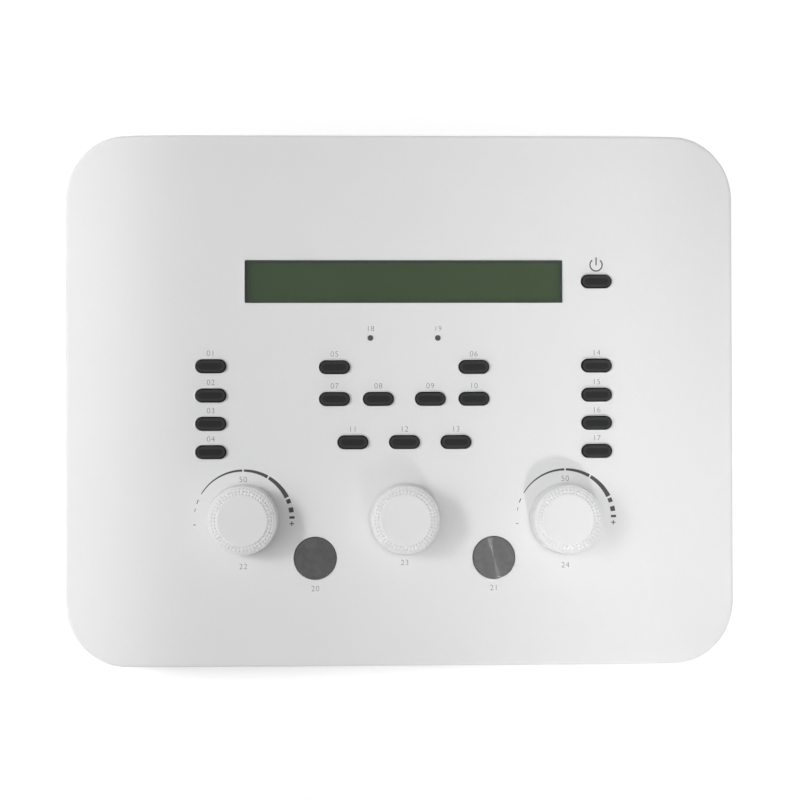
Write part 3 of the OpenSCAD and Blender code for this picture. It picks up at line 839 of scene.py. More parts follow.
def settle(piece: bpy.types.Object, material: bpy.types.Material, body: str,
           replaces: Sequence[str] = ()) -> None:
    """Finishes a new piece and seats it on its body.

    Args:
        piece: The piece.
        material: Its finish.
        body: The body that it rides on.
        replaces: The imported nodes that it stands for.
    """
    piece.data.materials.clear()
    piece.data.materials.append(material)
    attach(piece, body)
    if replaces:
        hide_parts(*replaces)
    log.info("piece %s: %d faces, on %s", piece.name, len(piece.data.polygons), body)


# ---------------------------------------------------------------- the cover


@dataclass
class TopCover:
    """The white cover: flat in the middle, bending down to both sides, pierced for every control.

    Attributes:
        front_posts: The x and y of each post of the front board, in layout axes and millimetres.
        display_posts: The same for the display's board.
        case_posts: The same for the housing's screws, in housing axes.
    """

    panel: PanelSpace
    width: float = 304 * MM
    depth: float = 239 * MM
    corner_r: float = 28 * MM
    height: float = 18 * MM
    wall: float = 2.5 * MM
    edge_r: float = 1.5 * MM
    foot_edge: float = 0.3 * MM
    flat_half_w: float = 98.5 * MM
    bend_r: float = 124 * MM
    slope_deg: float = 20.0
    edge_steps: int = 6
    corner_steps: int = 26
    bend_step: float = 2.2 * MM
    opening_edge: float = 0.18 * MM
    opening_steps: int = 3
    bead_w: float = 0.6 * MM
    bead_h: float = 0.34 * MM
    key_hole: tuple[float, float] = (14 * MM, 6.3 * MM)
    button_hole_d: float = 19.35 * MM
    shaft_hole_d: float = 7.6 * MM
    lamp_hole_d: float = 2.6 * MM
    window: tuple[float, float] = (143.3 * MM, 19.3 * MM)
    window_corner: float = 0.5 * MM
    window_recess: float = 1.2 * MM
    lens_edge: float = 2.4 * MM
    board_t: float = 1.6 * MM
    front_post_r: float = 3 * MM
    front_posts: tuple = ((-60, 25), (60, 25), (-60, -24), (60, -24), (-18, -76), (18, -76), (-90, -75),
                          (90, -75))
    display_post_r: float = 2.2 * MM
    display_posts: tuple = ((-76, 53.55 - 14.5), (-76, 53.55 + 14.5), (76, 53.55 - 14.5), (76, 53.55 + 14.5))
    case_post_r: float = 3.8 * MM
    case_posts: tuple = ((-124, -90), (-124, 0), (-124, 90), (124, -90), (124, 0), (124, 90))
    skin: Skin = field(default_factory=Skin)

    def crown(self, x: float) -> float:
        """Gives the height of the outer face.

        Args:
            x: The distance from the housing's middle.

        Returns:
            The height over the flat middle, which is 0 or less.
        """
        past = abs(x) - self.flat_half_w
        if past <= 0:
            return 0.0
        slope = math.radians(self.slope_deg)
        bend_w = self.bend_r * math.sin(slope)
        if past <= bend_w:
            return math.sqrt(self.bend_r**2 - past**2) - self.bend_r
        return self.bend_r * (math.cos(slope) - 1) - (past - bend_w) * math.tan(slope)

    def outline(self, inset: float) -> Outline:
        """Gives the housing's outline, with a point wherever the crown needs one.

        Args:
            inset: How far it is drawn in.

        Returns:
            The outline, up the right side and down the left.
        """
        x = self.width / 2 - self.corner_r
        y = self.depth / 2 - self.corner_r
        r = self.corner_r - inset
        count = math.ceil((x - self.flat_half_w) / self.bend_step)
        stations = [self.flat_half_w + (x - self.flat_half_w) * i / count for i in range(count)]
        front = [(s, -y - r) for s in stations]
        rear = [(s, y + r) for s in reversed(stations)]
        right = front + arc(x, -y, r, -90, 0, self.corner_steps)
        right += arc(x, y, r, 0, 90, self.corner_steps) + rear
        return right + [(-px, -py) for px, py in right]

    def openings(self) -> list[tuple[Callable[[float], Outline], bool]]:
        """Finds each opening but the window's.

        Returns:
            Each opening as a function of how far it is widened, with whether it is beaded.
        """
        length, width = self.key_hole
        round_holes = {"button": (self.button_hole_d, 96), "dial": (self.shaft_hole_d, 32),
                       "lamp": (self.lamp_hole_d, 28)}

        def key_hole(cx: float, cy: float) -> Callable[[float], Outline]:
            """Gives a key's opening."""
            return lambda e: obround_outline(cx, cy, length + 2 * e, width + 2 * e)

        def round_hole(cx: float, cy: float, d: float, steps: int) -> Callable[[float], Outline]:
            """Gives a round opening."""
            return lambda e: circle_outline(cx, cy, d / 2 + e, steps)

        holes: list[tuple[Callable[[float], Outline], bool]] = []
        for node in frame["nodes"]:
            kind = node.rsplit("_", 1)[-1]
            if kind != "key" and kind not in round_holes:
                continue
            x, y = self.panel.spot(node)
            x += self.panel.layout_x
            if kind == "key":
                holes.append((key_hole(x, y), True))
            else:
                holes.append((round_hole(x, y, *round_holes[kind]), False))
        return holes

    def window_middle(self) -> tuple[float, float]:
        """Gives the middle of the window in housing axes."""
        low, high = self.panel.measure("display_window")
        return (low.x + high.x) / 2 + self.panel.layout_x, (low.y + high.y) / 2

    def rounded_down(self, ring: Callable[[float], Outline], beaded: bool) -> tuple[list[int], list[int]]:
        """Rounds an opening's upper edge.

        Args:
            ring: The opening as a function of how far it is widened.
            beaded: Whether a low bead stands round the opening.

        Returns:
            The ring on the panel's face, and the ring where the opening's wall starts.
        """
        e = self.opening_edge
        lift = self.bead_h if beaded else 0.0
        rings = []
        bead_shares = ((1.0, 0.0), (0.85, 0.07), (0.3, 0.8)) if beaded else ()
        for out, up in bead_shares:
            rings.append(self.skin.ring(ring(e + self.bead_w * out), lift * up))
        for out, down in rounding(e, quarter(self.opening_steps)):
            rings.append(self.skin.ring(ring(out), lift - down))
        self.skin.stack(*rings)
        return rings[0], rings[-1]

    def build(self) -> bpy.types.Object:
        """Makes the cover and gives its object."""
        skin = self.skin
        bottom = -self.height
        rings = [skin.ring(self.outline(self.foot_edge), bottom),
                 skin.ring(self.outline(0), bottom + self.foot_edge)]
        for inset, drop in reversed(rounding(self.edge_r, quarter(self.edge_steps))):
            rings.append(skin.ring(self.outline(inset), lambda x, y, d=drop: self.crown(x) - d))
        inner_low = skin.ring(self.outline(self.wall), bottom)
        inner_high = skin.ring(self.outline(self.wall), lambda x, y: self.crown(x) - self.wall)
        skin.stack(inner_high, inner_low, *rings)
        faces, undersides = [], []
        for hole, beaded in self.openings():
            face, wall_top = self.rounded_down(hole, beaded)
            wall_low = skin.ring(hole(0), -self.wall)
            skin.stack(wall_top, wall_low)
            faces.append(face)
            undersides.append(wall_low)
        face, underside = self.cut_window()
        self.span(rings[-1], faces + [face])
        self.span(inner_high, undersides + [underside], up=False)
        self.posts()
        piece = skin.build("cover_shell", self.panel.matrix)
        soften(piece, 50)
        return piece

    def cut_window(self) -> tuple[list[int], list[int]]:
        """Cuts the window and the rebate behind it, and gives its upper and lower rings."""
        cx, cy = self.window_middle()
        w, h = self.window

        def opening(e: float) -> Outline:
            """Gives the window's outline, widened."""
            return rect_outline(cx, cy, w + 2 * e, h + 2 * e, self.window_corner + e)

        rebate = rect_outline(cx, cy, w + 2 * self.lens_edge, h + 2 * self.lens_edge, self.window_corner)
        face, wall_top = self.rounded_down(opening, True)
        wall_low = self.skin.ring(opening(0), -self.window_recess)
        seat, rebate_low = (self.skin.ring(rebate, -depth) for depth in (self.window_recess, self.wall))
        self.skin.stack(wall_top, wall_low, seat, rebate_low)
        return face, rebate_low

    def span(self, ring: list[int], holes: Sequence[list[int]], up: bool = True) -> None:
        """Fills a ring: a pierced flat middle, and a strip from front to rear at each point of the sides.

        Args:
            ring: The ring, whose first half runs up the right side and whose second half down the left.
            holes: The rings of the holes in its middle.
            up: Whether the surface faces up.
        """
        half = len(ring) // 2
        self.skin.sheet([ring[0], ring[half - 1], ring[half], ring[-1]], holes, up)
        for start in (0, half):
            side = ring[start:start + half]
            for i in range(half // 2 - 1):
                self.skin.cap([side[i], side[i + 1], side[half - 2 - i], side[half - 1 - i]], up)

    def posts(self) -> None:
        """Adds the screw posts that stand under the panel."""
        shift = self.panel.layout_x
        board = self.panel.measure("front_board")[1].z
        display = self.panel.measure("lcd_board")[0].z + self.board_t
        for posts, middle, r, foot in (
            (self.front_posts, shift, self.front_post_r, board),
            (self.display_posts, shift, self.display_post_r, display),
            (self.case_posts, 0.0, self.case_post_r, -self.height),
        ):
            for x, y in posts:
                self.post(x * MM + middle, y * MM, r, foot)

    def post(self, x: float, y: float, r: float, low: float) -> None:
        """Adds one post from a level up to the inside of the panel.

        Args:
            x: The x of its axis, in housing axes.
            y: The y of its axis.
            r: Its radius.
            low: The level of its foot.
        """
        foot = self.skin.ring(circle_outline(x, y, r, 24), low)
        sunk_in = 0.8
        head = self.skin.ring(circle_outline(x, y, r, 24), self.crown(x) - self.wall * sunk_in)
        self.skin.cap(foot, up=False)
        self.skin.stack(foot, head)
        self.skin.cap(head)


# ---------------------------------------------------------------- dials, buttons and print


@dataclass
class Dials:
    """The three white dials, with rows of round dimples on their crowned edge."""

    panel: PanelSpace
    foot_r: float = 16 * MM
    foot_flat: float = 0.7 * MM
    foot_round: float = 0.4 * MM
    top_r: float = 11.3 * MM
    height: float = 15 * MM
    gap: float = 0.8 * MM
    shoulder: float = 0.2 * MM
    count: int = 50
    rows: int = 3
    row_pitch: float = 1.3 * MM
    slopes_deg: tuple[float, float] = (6.0, 40.0)
    dimple_half: float = 0.63 * MM
    dimple_share: float = 0.46
    dimple_depths: tuple[float, float, float] = (0.5 * MM, 0.55 * MM, 0.3 * MM)
    points_per_dimple: int = 12
    steps_per_row: int = 12
    hollow_r: float = 12.4 * MM
    hub_r: float = 5 * MM
    bore_r: float = 3 * MM
    bore_step: float = 0.4 * MM
    hub_lift: float = 1.8 * MM
    roof: float = 2.8 * MM

    @property
    def rim_r(self) -> float:
        """Where the dimpled edge meets the skirt."""
        return self.top_r + self.rows * self.row_pitch

    @property
    def edge_z(self) -> float:
        """The height at which the dimpled edge starts, under the flat top."""
        return self.gap + self.height - self.shoulder

    def drop(self, r: float) -> float:
        """Gives how far the crowned edge has sunk at a radius, as its slope grows evenly."""
        low, high = (math.radians(a) for a in self.slopes_deg)
        rate = (high - low) / (self.rim_r - self.top_r)
        return math.log(math.cos(low) / math.cos(low + rate * (r - self.top_r))) / rate

    def dent(self, r: float, z: float, angle: float) -> float:
        """Gives the depth of the dimples at a place.

        Args:
            r: The place's radius.
            z: Its height; the skirt, which lies under the crowned edge, has no dimples.
            angle: Its angle, in radians.

        Returns:
            How far the surface is pressed in.
        """
        row = math.floor((r - self.top_r) / self.row_pitch)
        slack = 0.01 * MM
        if not 0 <= row < self.rows or z < self.edge_z - self.drop(self.rim_r) - slack:
            return 0.0
        middle = self.top_r + (row + 0.5) * self.row_pitch
        turn = angle * self.count / (2 * math.pi)
        across = ((turn + 0.5) % 1.0 - 0.5) / self.dimple_share
        reach = min(math.hypot((r - middle) / self.dimple_half, across), 1.0)
        return self.dimple_depths[row] * 0.5 * (1 + math.cos(math.pi * reach))

    def profile(self) -> list[tuple[float, float]]:
        """Gives the dial's outside from the foot to the middle of the top."""
        top = self.gap + self.height
        rim_z = self.edge_z - self.drop(self.rim_r)
        foot_z = self.gap + self.foot_round
        points = [(self.foot_r - self.foot_flat, self.gap)]
        points += [(self.foot_r - inset, self.gap + up)
                   for inset, up in rounding(self.foot_round, (15, 40, 65, 90))]
        skirt = (self.rim_r + 0.05 * MM, rim_z - 0.3 * MM)
        for t in (0.1, 0.5, 0.9, 1.0):
            points.append((self.foot_r + (skirt[0] - self.foot_r) * t, foot_z + (skirt[1] - foot_z) * t))
        points += [(self.rim_r + 0.03 * MM, rim_z - 0.15 * MM), (self.rim_r, rim_z - 0.05 * MM)]
        steps = self.rows * self.steps_per_row
        for i in range(steps + 1):
            r = self.rim_r + (self.top_r - self.rim_r) * i / steps
            points.append((r, self.edge_z - self.drop(r)))
        for inward, up in ((0.04, 0.08), (0.12, 0.155), (0.25, 0.2), (0.8, 0.2)):
            points.append((self.top_r - inward * MM, self.edge_z + up * MM))
        return points + [(self.top_r * share, top) for share in (0.6, 0.25, 0)]

    def underside(self) -> list[tuple[float, float]]:
        """Gives the hollow under the dial, from the shaft's end out to the foot of the skirt."""
        roof_z = self.gap + self.height - self.roof
        bore_z = roof_z - self.bore_step
        hub_z = self.gap + self.hub_lift
        return [(0, bore_z), (self.bore_r, bore_z), (self.bore_r, hub_z), (self.hub_r, hub_z),
                (self.hub_r, roof_z), (self.hollow_r, roof_z), (self.hollow_r, self.gap)]

    def build(self, side: Side, material: bpy.types.Material) -> None:
        """Makes one dial and seats it on its body.

        Args:
            side: Which dial.
            material: Its finish.
        """
        node = f"{side.value}_dial"
        skin = Skin()
        lathe(skin, self.underside() + self.profile(), self.count * self.points_per_dimple, self.dent)
        piece = skin.build(f"{side.value}_dial_knurled", self.panel.at(*self.panel.spot(node)))
        soften(piece, 60)
        settle(piece, material, node, replaces=[node])


@dataclass
class OblongKeys:
    """The eighteen oblong keys: a dished cap over a flange and a stem, its rim given a painted highlight
    and its outer rounding and side painted shade.

    Attributes:
        rim_steps: For each ring of the dish's rim, which carries the painted highlight, how far it lies
            inside the outline in millimetres, and its share of the dish's depth.
        field_steps: The same for the rings of the field inside the rim.
    """

    panel: PanelSpace
    length: float = 13.6 * MM
    width: float = 5.9 * MM
    rise: float = 1.8 * MM
    rim_round: float = 0.7 * MM
    dish: float = 0.16 * MM
    flange_top: float = -2.6 * MM
    flange_t: float = 1.2 * MM
    flange_edge: float = 1.2 * MM
    neck: tuple[float, float] = (8 * MM, 3.6 * MM)
    neck_bottom: float = -5.8 * MM
    stem_r: float = 1.5 * MM
    stem_bottom: float = -9.2 * MM
    round_steps: int = 8
    end_steps: int = 18
    rim_steps: tuple = ((0.95, 0.02), (1.2, 0.12), (1.4, 0.35), (1.55, 0.6))
    field_steps: tuple = ((1.7, 0.82), (1.95, 0.97), (2.3, 1.0))

    def ring(self, skin: Skin, inset: float, z: float) -> list[int]:
        """Adds the key's outline, drawn in by a margin, at a height."""
        outline = obround_outline(0, 0, self.length - 2 * inset, self.width - 2 * inset, self.end_steps)
        return skin.ring(outline, z)

    def form(self, skin: Skin) -> tuple[int, int]:
        """Adds the whole key, closed, from the foot of its stem to its dished top.

        Args:
            skin: Takes the new points and faces.

        Returns:
            The first face of the rim, and the first face past it.
        """
        flange_low = self.flange_top - self.flange_t
        foot = [skin.ring(circle_outline(0, 0, self.stem_r, 2 * self.end_steps + 2), z)
                for z in (self.stem_bottom, self.neck_bottom)]
        neck = [skin.ring(obround_outline(0, 0, *self.neck, self.end_steps), z)
                for z in (self.neck_bottom, flange_low)]
        flange = [self.ring(skin, -self.flange_edge, z) for z in (flange_low, self.flange_top)]
        cap = [self.ring(skin, 0, self.flange_top)]
        cap += [self.ring(skin, inset, self.rise - down)
                for down, inset in rounding(self.rim_round, quarter(self.round_steps))]
        skin.cap(foot[0], up=False)
        skin.stack(*foot, *neck, *flange, *cap)
        rounding_bands_in_rim = 3
        rim_first = len(skin.faces) - rounding_bands_in_rim * len(cap[0])
        rim, middle = ([self.ring(skin, inset * MM, self.rise - share * self.dish) for inset, share in steps]
                       for steps in (self.rim_steps, self.field_steps))
        skin.stack(cap[-1], *rim)
        rim_last = len(skin.faces)
        skin.stack(rim[-1], *middle)
        skin.cap(middle[-1])
        return rim_first, rim_last

    def build(self, node: str, field_finish: bpy.types.Material, rim_sheen_finish: bpy.types.Material,
              side_shade_finish: bpy.types.Material) -> None:
        """Makes one key and seats it on its body.

        Args:
            node: The key's node, which is its body too.
            field_finish: The finish of the cap.
            rim_sheen_finish: The finish of the rim, lighter than the cap's as a painted highlight.
            side_shade_finish: The finish of the side and all under it, darker than the cap's as painted
                shade.
        """
        skin = Skin()
        first, last = self.form(skin)
        piece = skin.build(f"{node}_cap", self.panel.at(*self.panel.spot(node)))
        soften(piece, 50)
        settle(piece, field_finish, node, replaces=[node])
        # The rim's faces take the lighter finish, a painted highlight, and the faces under them the darker
        # one, painted shade.
        for material in (rim_sheen_finish, side_shade_finish):
            piece.data.materials.append(material)
        sheen_index, shade_index = 1, 2
        for i, polygon in enumerate(piece.data.polygons[:last]):
            polygon.material_index = shade_index if i < first else sheen_index


@dataclass
class RoundButtons:
    """The two round buttons with their dished, spun metal faces."""

    panel: PanelSpace
    radius: float = 9.475 * MM
    rise: float = 0.4 * MM
    thickness: float = 1.2 * MM
    back_edge: float = 0.1 * MM
    lip: float = 0.3 * MM
    land: float = 0.8 * MM
    dish: float = 0.25 * MM

    def profile(self) -> list[tuple[float, float]]:
        """Gives the face's outside, from the middle of its back to the middle of its front."""
        low = self.rise - self.thickness
        r = self.radius
        points = [(0, low), (r - self.back_edge, low), (r, low + self.back_edge)]
        points += [(r - inset, self.rise - down) for down, inset in rounding(self.lip, quarter(3))]
        dish_r = r - self.land
        return points + [(dish_r * t, self.rise - self.dish * (1 - t)) for t in (1, 0.9, 0.75, 0.5, 0.25, 0)]

    def build(self, name: str, tone: float, streak: float, roughness: float) -> None:
        """Makes one button's metal face.

        Args:
            name: The button's name.
            tone: How bright its metal is.
            streak: The strength of its spun streak.
            roughness: How far its metal scatters light.
        """
        node = f"{name}_button"
        skin = Skin()
        lathe(skin, self.profile(), 128)
        piece = skin.build(f"{name}_button_face", self.panel.at(*self.panel.spot(node)))
        soften(piece, 40)
        low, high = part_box(node)
        centre = tuple((a + b) / 2 for a, b in zip(low, high))
        metal = SpunMetal(f"{name}_spun_metal", tone, centre, roughness, streak).build()
        settle(piece, metal, node, replaces=[node])


@dataclass
class PanelPrint:
    """What is printed on the panel: scales round two dials, small numbers and plain signs.

    Attributes:
        stretches: Each stretch of a scale: its first and last angle in degrees, and its thickness at
            both in millimetres.
        plus_deg: The angle of the plus sign.
        minus_deg: The angle of the minus sign.
        power_gap: The angles at which the power sign's ring ends, past the gap at its top.
        cap_share: The height of a digit, as a share of the font's size.
        thinning: How far a digit's strokes are thinned on each side, as a share of its height.
        spacing: The space between digits, as a factor of the font's own.
    """

    panel: PanelSpace
    ink_t: float = 0.03 * MM
    digit_h: float = 2.6 * MM
    key_label_dy: float = 6.0 * MM
    lamp_label_dy: float = 4.3 * MM
    scale_r: float = 21.9 * MM
    stretches: tuple = (
        (148.6, 90.9, 0.40, 1.00), (89.1, 60.0, 1.02, 1.50), (58.2, 26.5, 1.52, 2.10),
        (24.1, 18.9, 1.9, 1.9), (13.8, 8.0, 2.1, 2.1), (3.4, 0.6, 2.3, 2.3),
        (161.3, 156.1, 0.38, 0.42), (171.2, 166.8, 0.22, 0.26),
    )
    plus_deg: float = -5.3
    minus_deg: float = 186.3
    power_dy: float = 7.47 * MM
    power_r: float = 2.76 * MM
    power_t: float = 0.56 * MM
    power_gap: tuple[int, int] = (129, 410)
    cap_share: float = 0.73
    thinning: float = 0.024
    spacing: float = 1.12

    def slab(self, skin: Skin, outline: Outline) -> None:
        """Adds one flat patch of ink.

        Args:
            skin: Takes the new points.
            outline: The patch in plan.
        """
        low, high = (skin.ring(outline, z) for z in (0.0, self.ink_t))
        skin.stack(low, high)
        skin.cap(high)
        skin.cap(low, up=False)

    def on_scale(self, cx: float, cy: float, turn_deg: float, out: float = 0.0) -> tuple[float, float]:
        """Gives a point on or near a dial's scale.

        Args:
            cx: The dial's x.
            cy: The dial's y.
            turn_deg: The point's angle, in degrees.
            out: How far it lies outside the scale's middle line.

        Returns:
            The point.
        """
        a, r = math.radians(turn_deg), self.scale_r + out
        return cx + r * math.cos(a), cy + r * math.sin(a)

    def bar(self, skin: Skin, x: float, y: float, w: float, h: float) -> None:
        """Adds a small upright oblong of ink, its sizes in millimetres."""
        self.slab(skin, rect_outline(x, y, w * MM, h * MM, 0.05 * MM, 2))

    def band(self, skin: Skin, cx: float, cy: float, start: float, end: float, t0: float, t1: float) -> None:
        """Adds a stretch of a dial's scale, whose thickness runs from t0 to t1.

        Args:
            skin: Takes the new points.
            cx: The dial's x.
            cy: The dial's y.
            start: The first angle, in degrees.
            end: The last angle.
            t0: The thickness at the start.
            t1: The thickness at the end.
        """
        steps = max(2, int(abs(end - start) / 2))
        outer, inner = [], []
        for i in range(steps + 1):
            u = i / steps
            half = (t0 + (t1 - t0) * u) / 2
            outer.append(self.on_scale(cx, cy, start + (end - start) * u, half))
            inner.append(self.on_scale(cx, cy, start + (end - start) * u, -half))
        self.slab(skin, outer[::-1] + inner)

    def dial_scale(self, skin: Skin, cx: float, cy: float) -> None:
        """Adds the growing scale round one level dial, with its plus sign.

        Args:
            skin: Takes the new points.
            cx: The dial's x.
            cy: The dial's y.
        """
        for start, end, t0, t1 in self.stretches:
            self.band(skin, cx, cy, start, end, t0 * MM, t1 * MM)
        x, y = self.on_scale(cx, cy, self.plus_deg)
        self.bar(skin, x, y, 2.0, 0.42)
        for away in (0.62 * MM, -0.62 * MM):
            self.bar(skin, x, y + away, 0.42, 0.76)

    def minus_sign(self, skin: Skin, cx: float, cy: float) -> None:
        """Adds the minus sign at the low end of a scale."""
        self.bar(skin, *self.on_scale(cx, cy, self.minus_deg), 1.1, 0.45)

    def power_sign(self, skin: Skin) -> None:
        """Adds the broken ring and the bar over the power key.

        Args:
            skin: Takes the new points.
        """
        x, y = self.panel.spot("power_key")
        y += self.power_dy
        start, end = self.power_gap
        outer = arc(x, y, self.power_r + self.power_t / 2, start, end, 48)
        inner = arc(x, y, self.power_r - self.power_t / 2, end, start, 48)
        self.slab(skin, outer + inner)
        self.slab(skin, rect_outline(x, y + 1.6 * MM, self.power_t, 3.6 * MM, 0.1 * MM, 3))

    def number(self, body: str, x: float, y: float, height: float) -> bpy.types.Mesh:
        """Makes one printed number as a mesh.

        Args:
            body: The digits.
            x: The middle of the number, in layout axes.
            y: Its middle.
            height: The height of its digits.

        Returns:
            The mesh, in the object's frame.
        """
        curve = bpy.data.curves.new("digits", "FONT")
        curve.body = body
        curve.size = height / self.cap_share
        curve.align_x = "CENTER"
        curve.extrude = self.ink_t / 2
        curve.offset = -self.thinning * height
        curve.space_character = self.spacing
        curve.resolution_u = 6
        text = link("digits", curve)
        mesh = bpy.data.meshes.new_from_object(text.evaluated_get(bpy.context.evaluated_depsgraph_get()))
        mesh.transform(self.panel.at(x, y - height / 2, self.ink_t / 2))
        bpy.data.objects.remove(text)
        bpy.data.curves.remove(curve)
        return mesh

    def numbers(self) -> bpy.types.Object:
        """Makes every printed number as one piece."""
        keys = ["tone", "warble", "speech", "mask", "left_ear", "right_ear", "pulse", "reverse",
                "plus_level", "lock", "air", "bone", "field", "print", "step", "options", "talkover"]
        labels = [(f"{i:02d}", f"{key}_key", self.key_label_dy, 1.0) for i, key in enumerate(keys, 1)]
        labels += [
            ("18", "present_lamp", self.lamp_label_dy, 0.95),
            ("19", "response_lamp", self.lamp_label_dy, 0.95),
            ("20", "present_button", -13.5 * MM, 1.0), ("21", "store_button", -13.5 * MM, 1.0),
            ("22", "left_dial", -21 * MM, 1.0), ("23", "centre_dial", -19.6 * MM, 1.0),
            ("24", "right_dial", -21 * MM, 1.0), ("50", "left_dial", 18 * MM, 1.0),
            ("50", "right_dial", 18 * MM, 1.0),
        ]
        form = bmesh.new()
        for body, node, up, factor in labels:
            x, y = self.panel.spot(node)
            form.from_mesh(self.number(body, x, y + up, self.digit_h * factor))
        mesh = bpy.data.meshes.new("panel_numbers")
        bmesh.ops.remove_doubles(form, verts=form.verts, dist=1e-7)
        form.to_mesh(mesh)
        form.free()
        return link("panel_numbers", mesh)

    def build(self, dark: bpy.types.Material, pale: bpy.types.Material, faint: bpy.types.Material) -> None:
        """Makes all the print.

        Args:
            dark: The ink of the scales.
            pale: The ink of the numbers.
            faint: The ink of the minus signs.
        """
        scales, minus, power = Skin(), Skin(), Skin()
        for dial in ("left_dial", "right_dial"):
            x, y = self.panel.spot(dial)
            self.dial_scale(scales, x, y)
            self.minus_sign(minus, x, y)
        self.power_sign(power)
        for name, skin, ink in (("dial_scales", scales, dark), ("minus_signs", minus, faint),
                                ("power_sign", power, dark)):
            settle(skin.build(name, self.panel.at(0, 0)), ink, HOUSING)
        settle(self.numbers(), pale, HOUSING)


# ---------------------------------------------------------------- the rest of the pieces


class Assembly:
    """Every piece of the audiometer, dressed in order."""

    def __init__(self, panel: PanelSpace) -> None:
        """Makes the finishes that several sub-assemblies share.

        Args:
            panel: The panel's axes.
        """
        self.panel = panel
        self.white = MouldedPlastic("white_plastic", 0.80, roughness=0.46, grain_scale=1700.0,
                                    grain_depth=0.0002).build()
        self.black = MouldedPlastic("black_plastic", 0.022, roughness=0.45, drift_share=0.4).build()
        self.plated = PlatedMetal("plated_zinc").build()

    def cover(self) -> None:
        """Makes the top cover."""
        settle(TopCover(self.panel).build(), self.white, HOUSING, replaces=["top_cover"])

    def base(self) -> None:
        """Dresses the base, its plate, feet and screws."""
        white = MouldedPlastic("base_white", 0.76, roughness=0.55, grain_scale=1800.0, grain_depth=0.00007)
        rubber = MouldedPlastic("foot_rubber", 0.018, roughness=0.8, grain_scale=900.0, grain_depth=0.0001,
                                gloss=0.2)
        dress(["base_tub"], white.build(), 30)
        dress(["rear_plate"], MouldedPlastic("plate_grey", 0.30).build())
        dress(["rubber_feet"], rubber.build())
        dress(["case_screws", "board_screws", "socket_nuts", "usb_socket"], self.plated)

    def display(self) -> None:
        """Dresses the window, the liquid-crystal glass and the frame round it."""
        low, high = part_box("lcd_glass")
        margin = 1.5 * MM
        middle = self.panel.at(0.25 * MM, OUTER_ROW)
        # The window's clear field ends at this half-size. Outside it, a dark band is painted as shade.
        window = ClearPanel("tinted_window", tuple(middle.translation), tuple(middle.col[1][:3]),
                            half=(70.3 * MM, 8.875 * MM))
        dress(["display_window"], window.build())
        dress(["lcd_glass"], LiquidCrystal("liquid_crystal", (low[0] + margin, high[0] - margin)).build())
        dress(["lcd_bezel"], MouldedPlastic("bezel_black", 0.015, roughness=0.4).build())

    def keys(self) -> None:
        """Makes the oblong keys."""
        cap = KeyRubber("key_rubber", tone=0.017, fleck=0.028).build()
        # The rim's lighter tone is a painted highlight for the shine of the rounded rim, and the side's
        # darker tone is painted shade.
        rim = KeyRubber("key_rim_painted_sheen", tone=0.034, fleck=0.046, roughness=0.42).build()
        side = KeyRubber("key_side_painted_shade", tone=0.008, fleck=0.012, roughness=0.6, gloss=0.03).build()
        shape = OblongKeys(self.panel)
        for node in [n for n in frame["nodes"] if n.endswith("_key")]:
            shape.build(node, cap, rim, side)

    def controls(self) -> None:
        """Makes the dials and the round buttons, and dresses the lamps."""
        dials = Dials(self.panel)
        white = MouldedPlastic("dial_white", 0.80, roughness=0.3, grain_scale=3200.0, gloss=0.5).build()
        for side in Side:
            dials.build(side, white)
        buttons = RoundButtons(self.panel)
        buttons.build("present", tone=0.11, streak=0.6, roughness=0.5)
        buttons.build("store", tone=0.16, streak=1.0, roughness=0.22)
        dress(["present_plunger", "store_plunger"], self.black)
        smoked = MouldedPlastic("smoked_lamp", 0.06, roughness=0.22, grain_depth=0.00001, gloss=0.6).build()
        dress(["present_lamp", "response_lamp"], smoked)

    def printing(self) -> None:
        """Prints the scales, numbers and signs."""
        scale, number, faint = (PrintedInk(f"{name}_ink", tone).build()
                                for name, tone in (("scale", 0.07), ("number", 0.15), ("faint", 0.24)))
        PanelPrint(self.panel).build(scale, number, faint)

    def insides(self) -> None:
        """Dresses the boards, sockets and everything behind them."""
        dress(["front_board", "main_board", "lcd_board"], BoardLacquer().build())
        dress(["key_switches", "main_board_parts"], self.black)
        dress(["ribbon_cable"], RibbonStrands().build())
        dress(["lamp_leds"], MouldedPlastic("led_resin", (0.75, 0.72, 0.4), roughness=0.25).build())
        for side in Side:
            cast = PlatedMetal(f"{side.value}_die_cast", (0.35, 0.36, 0.37), roughness=0.45).build()
            dress([f"{side.value}_encoder"], cast)
            dress([f"{side.value}_encoder_shaft"], self.plated)
        sockets = [n for n in frame["nodes"] if n.endswith("_socket") and n != "usb_socket"]
        dress(sockets + ["power_inlet"], self.black)

    def build(self) -> None:
        """Makes and dresses everything."""
        for part in (self.cover, self.base, self.display, self.keys, self.controls, self.printing,
                     self.insides):
            part()
            log.info("finished %s", part.__name__)


# ---------------------------------------------------------------- the studio


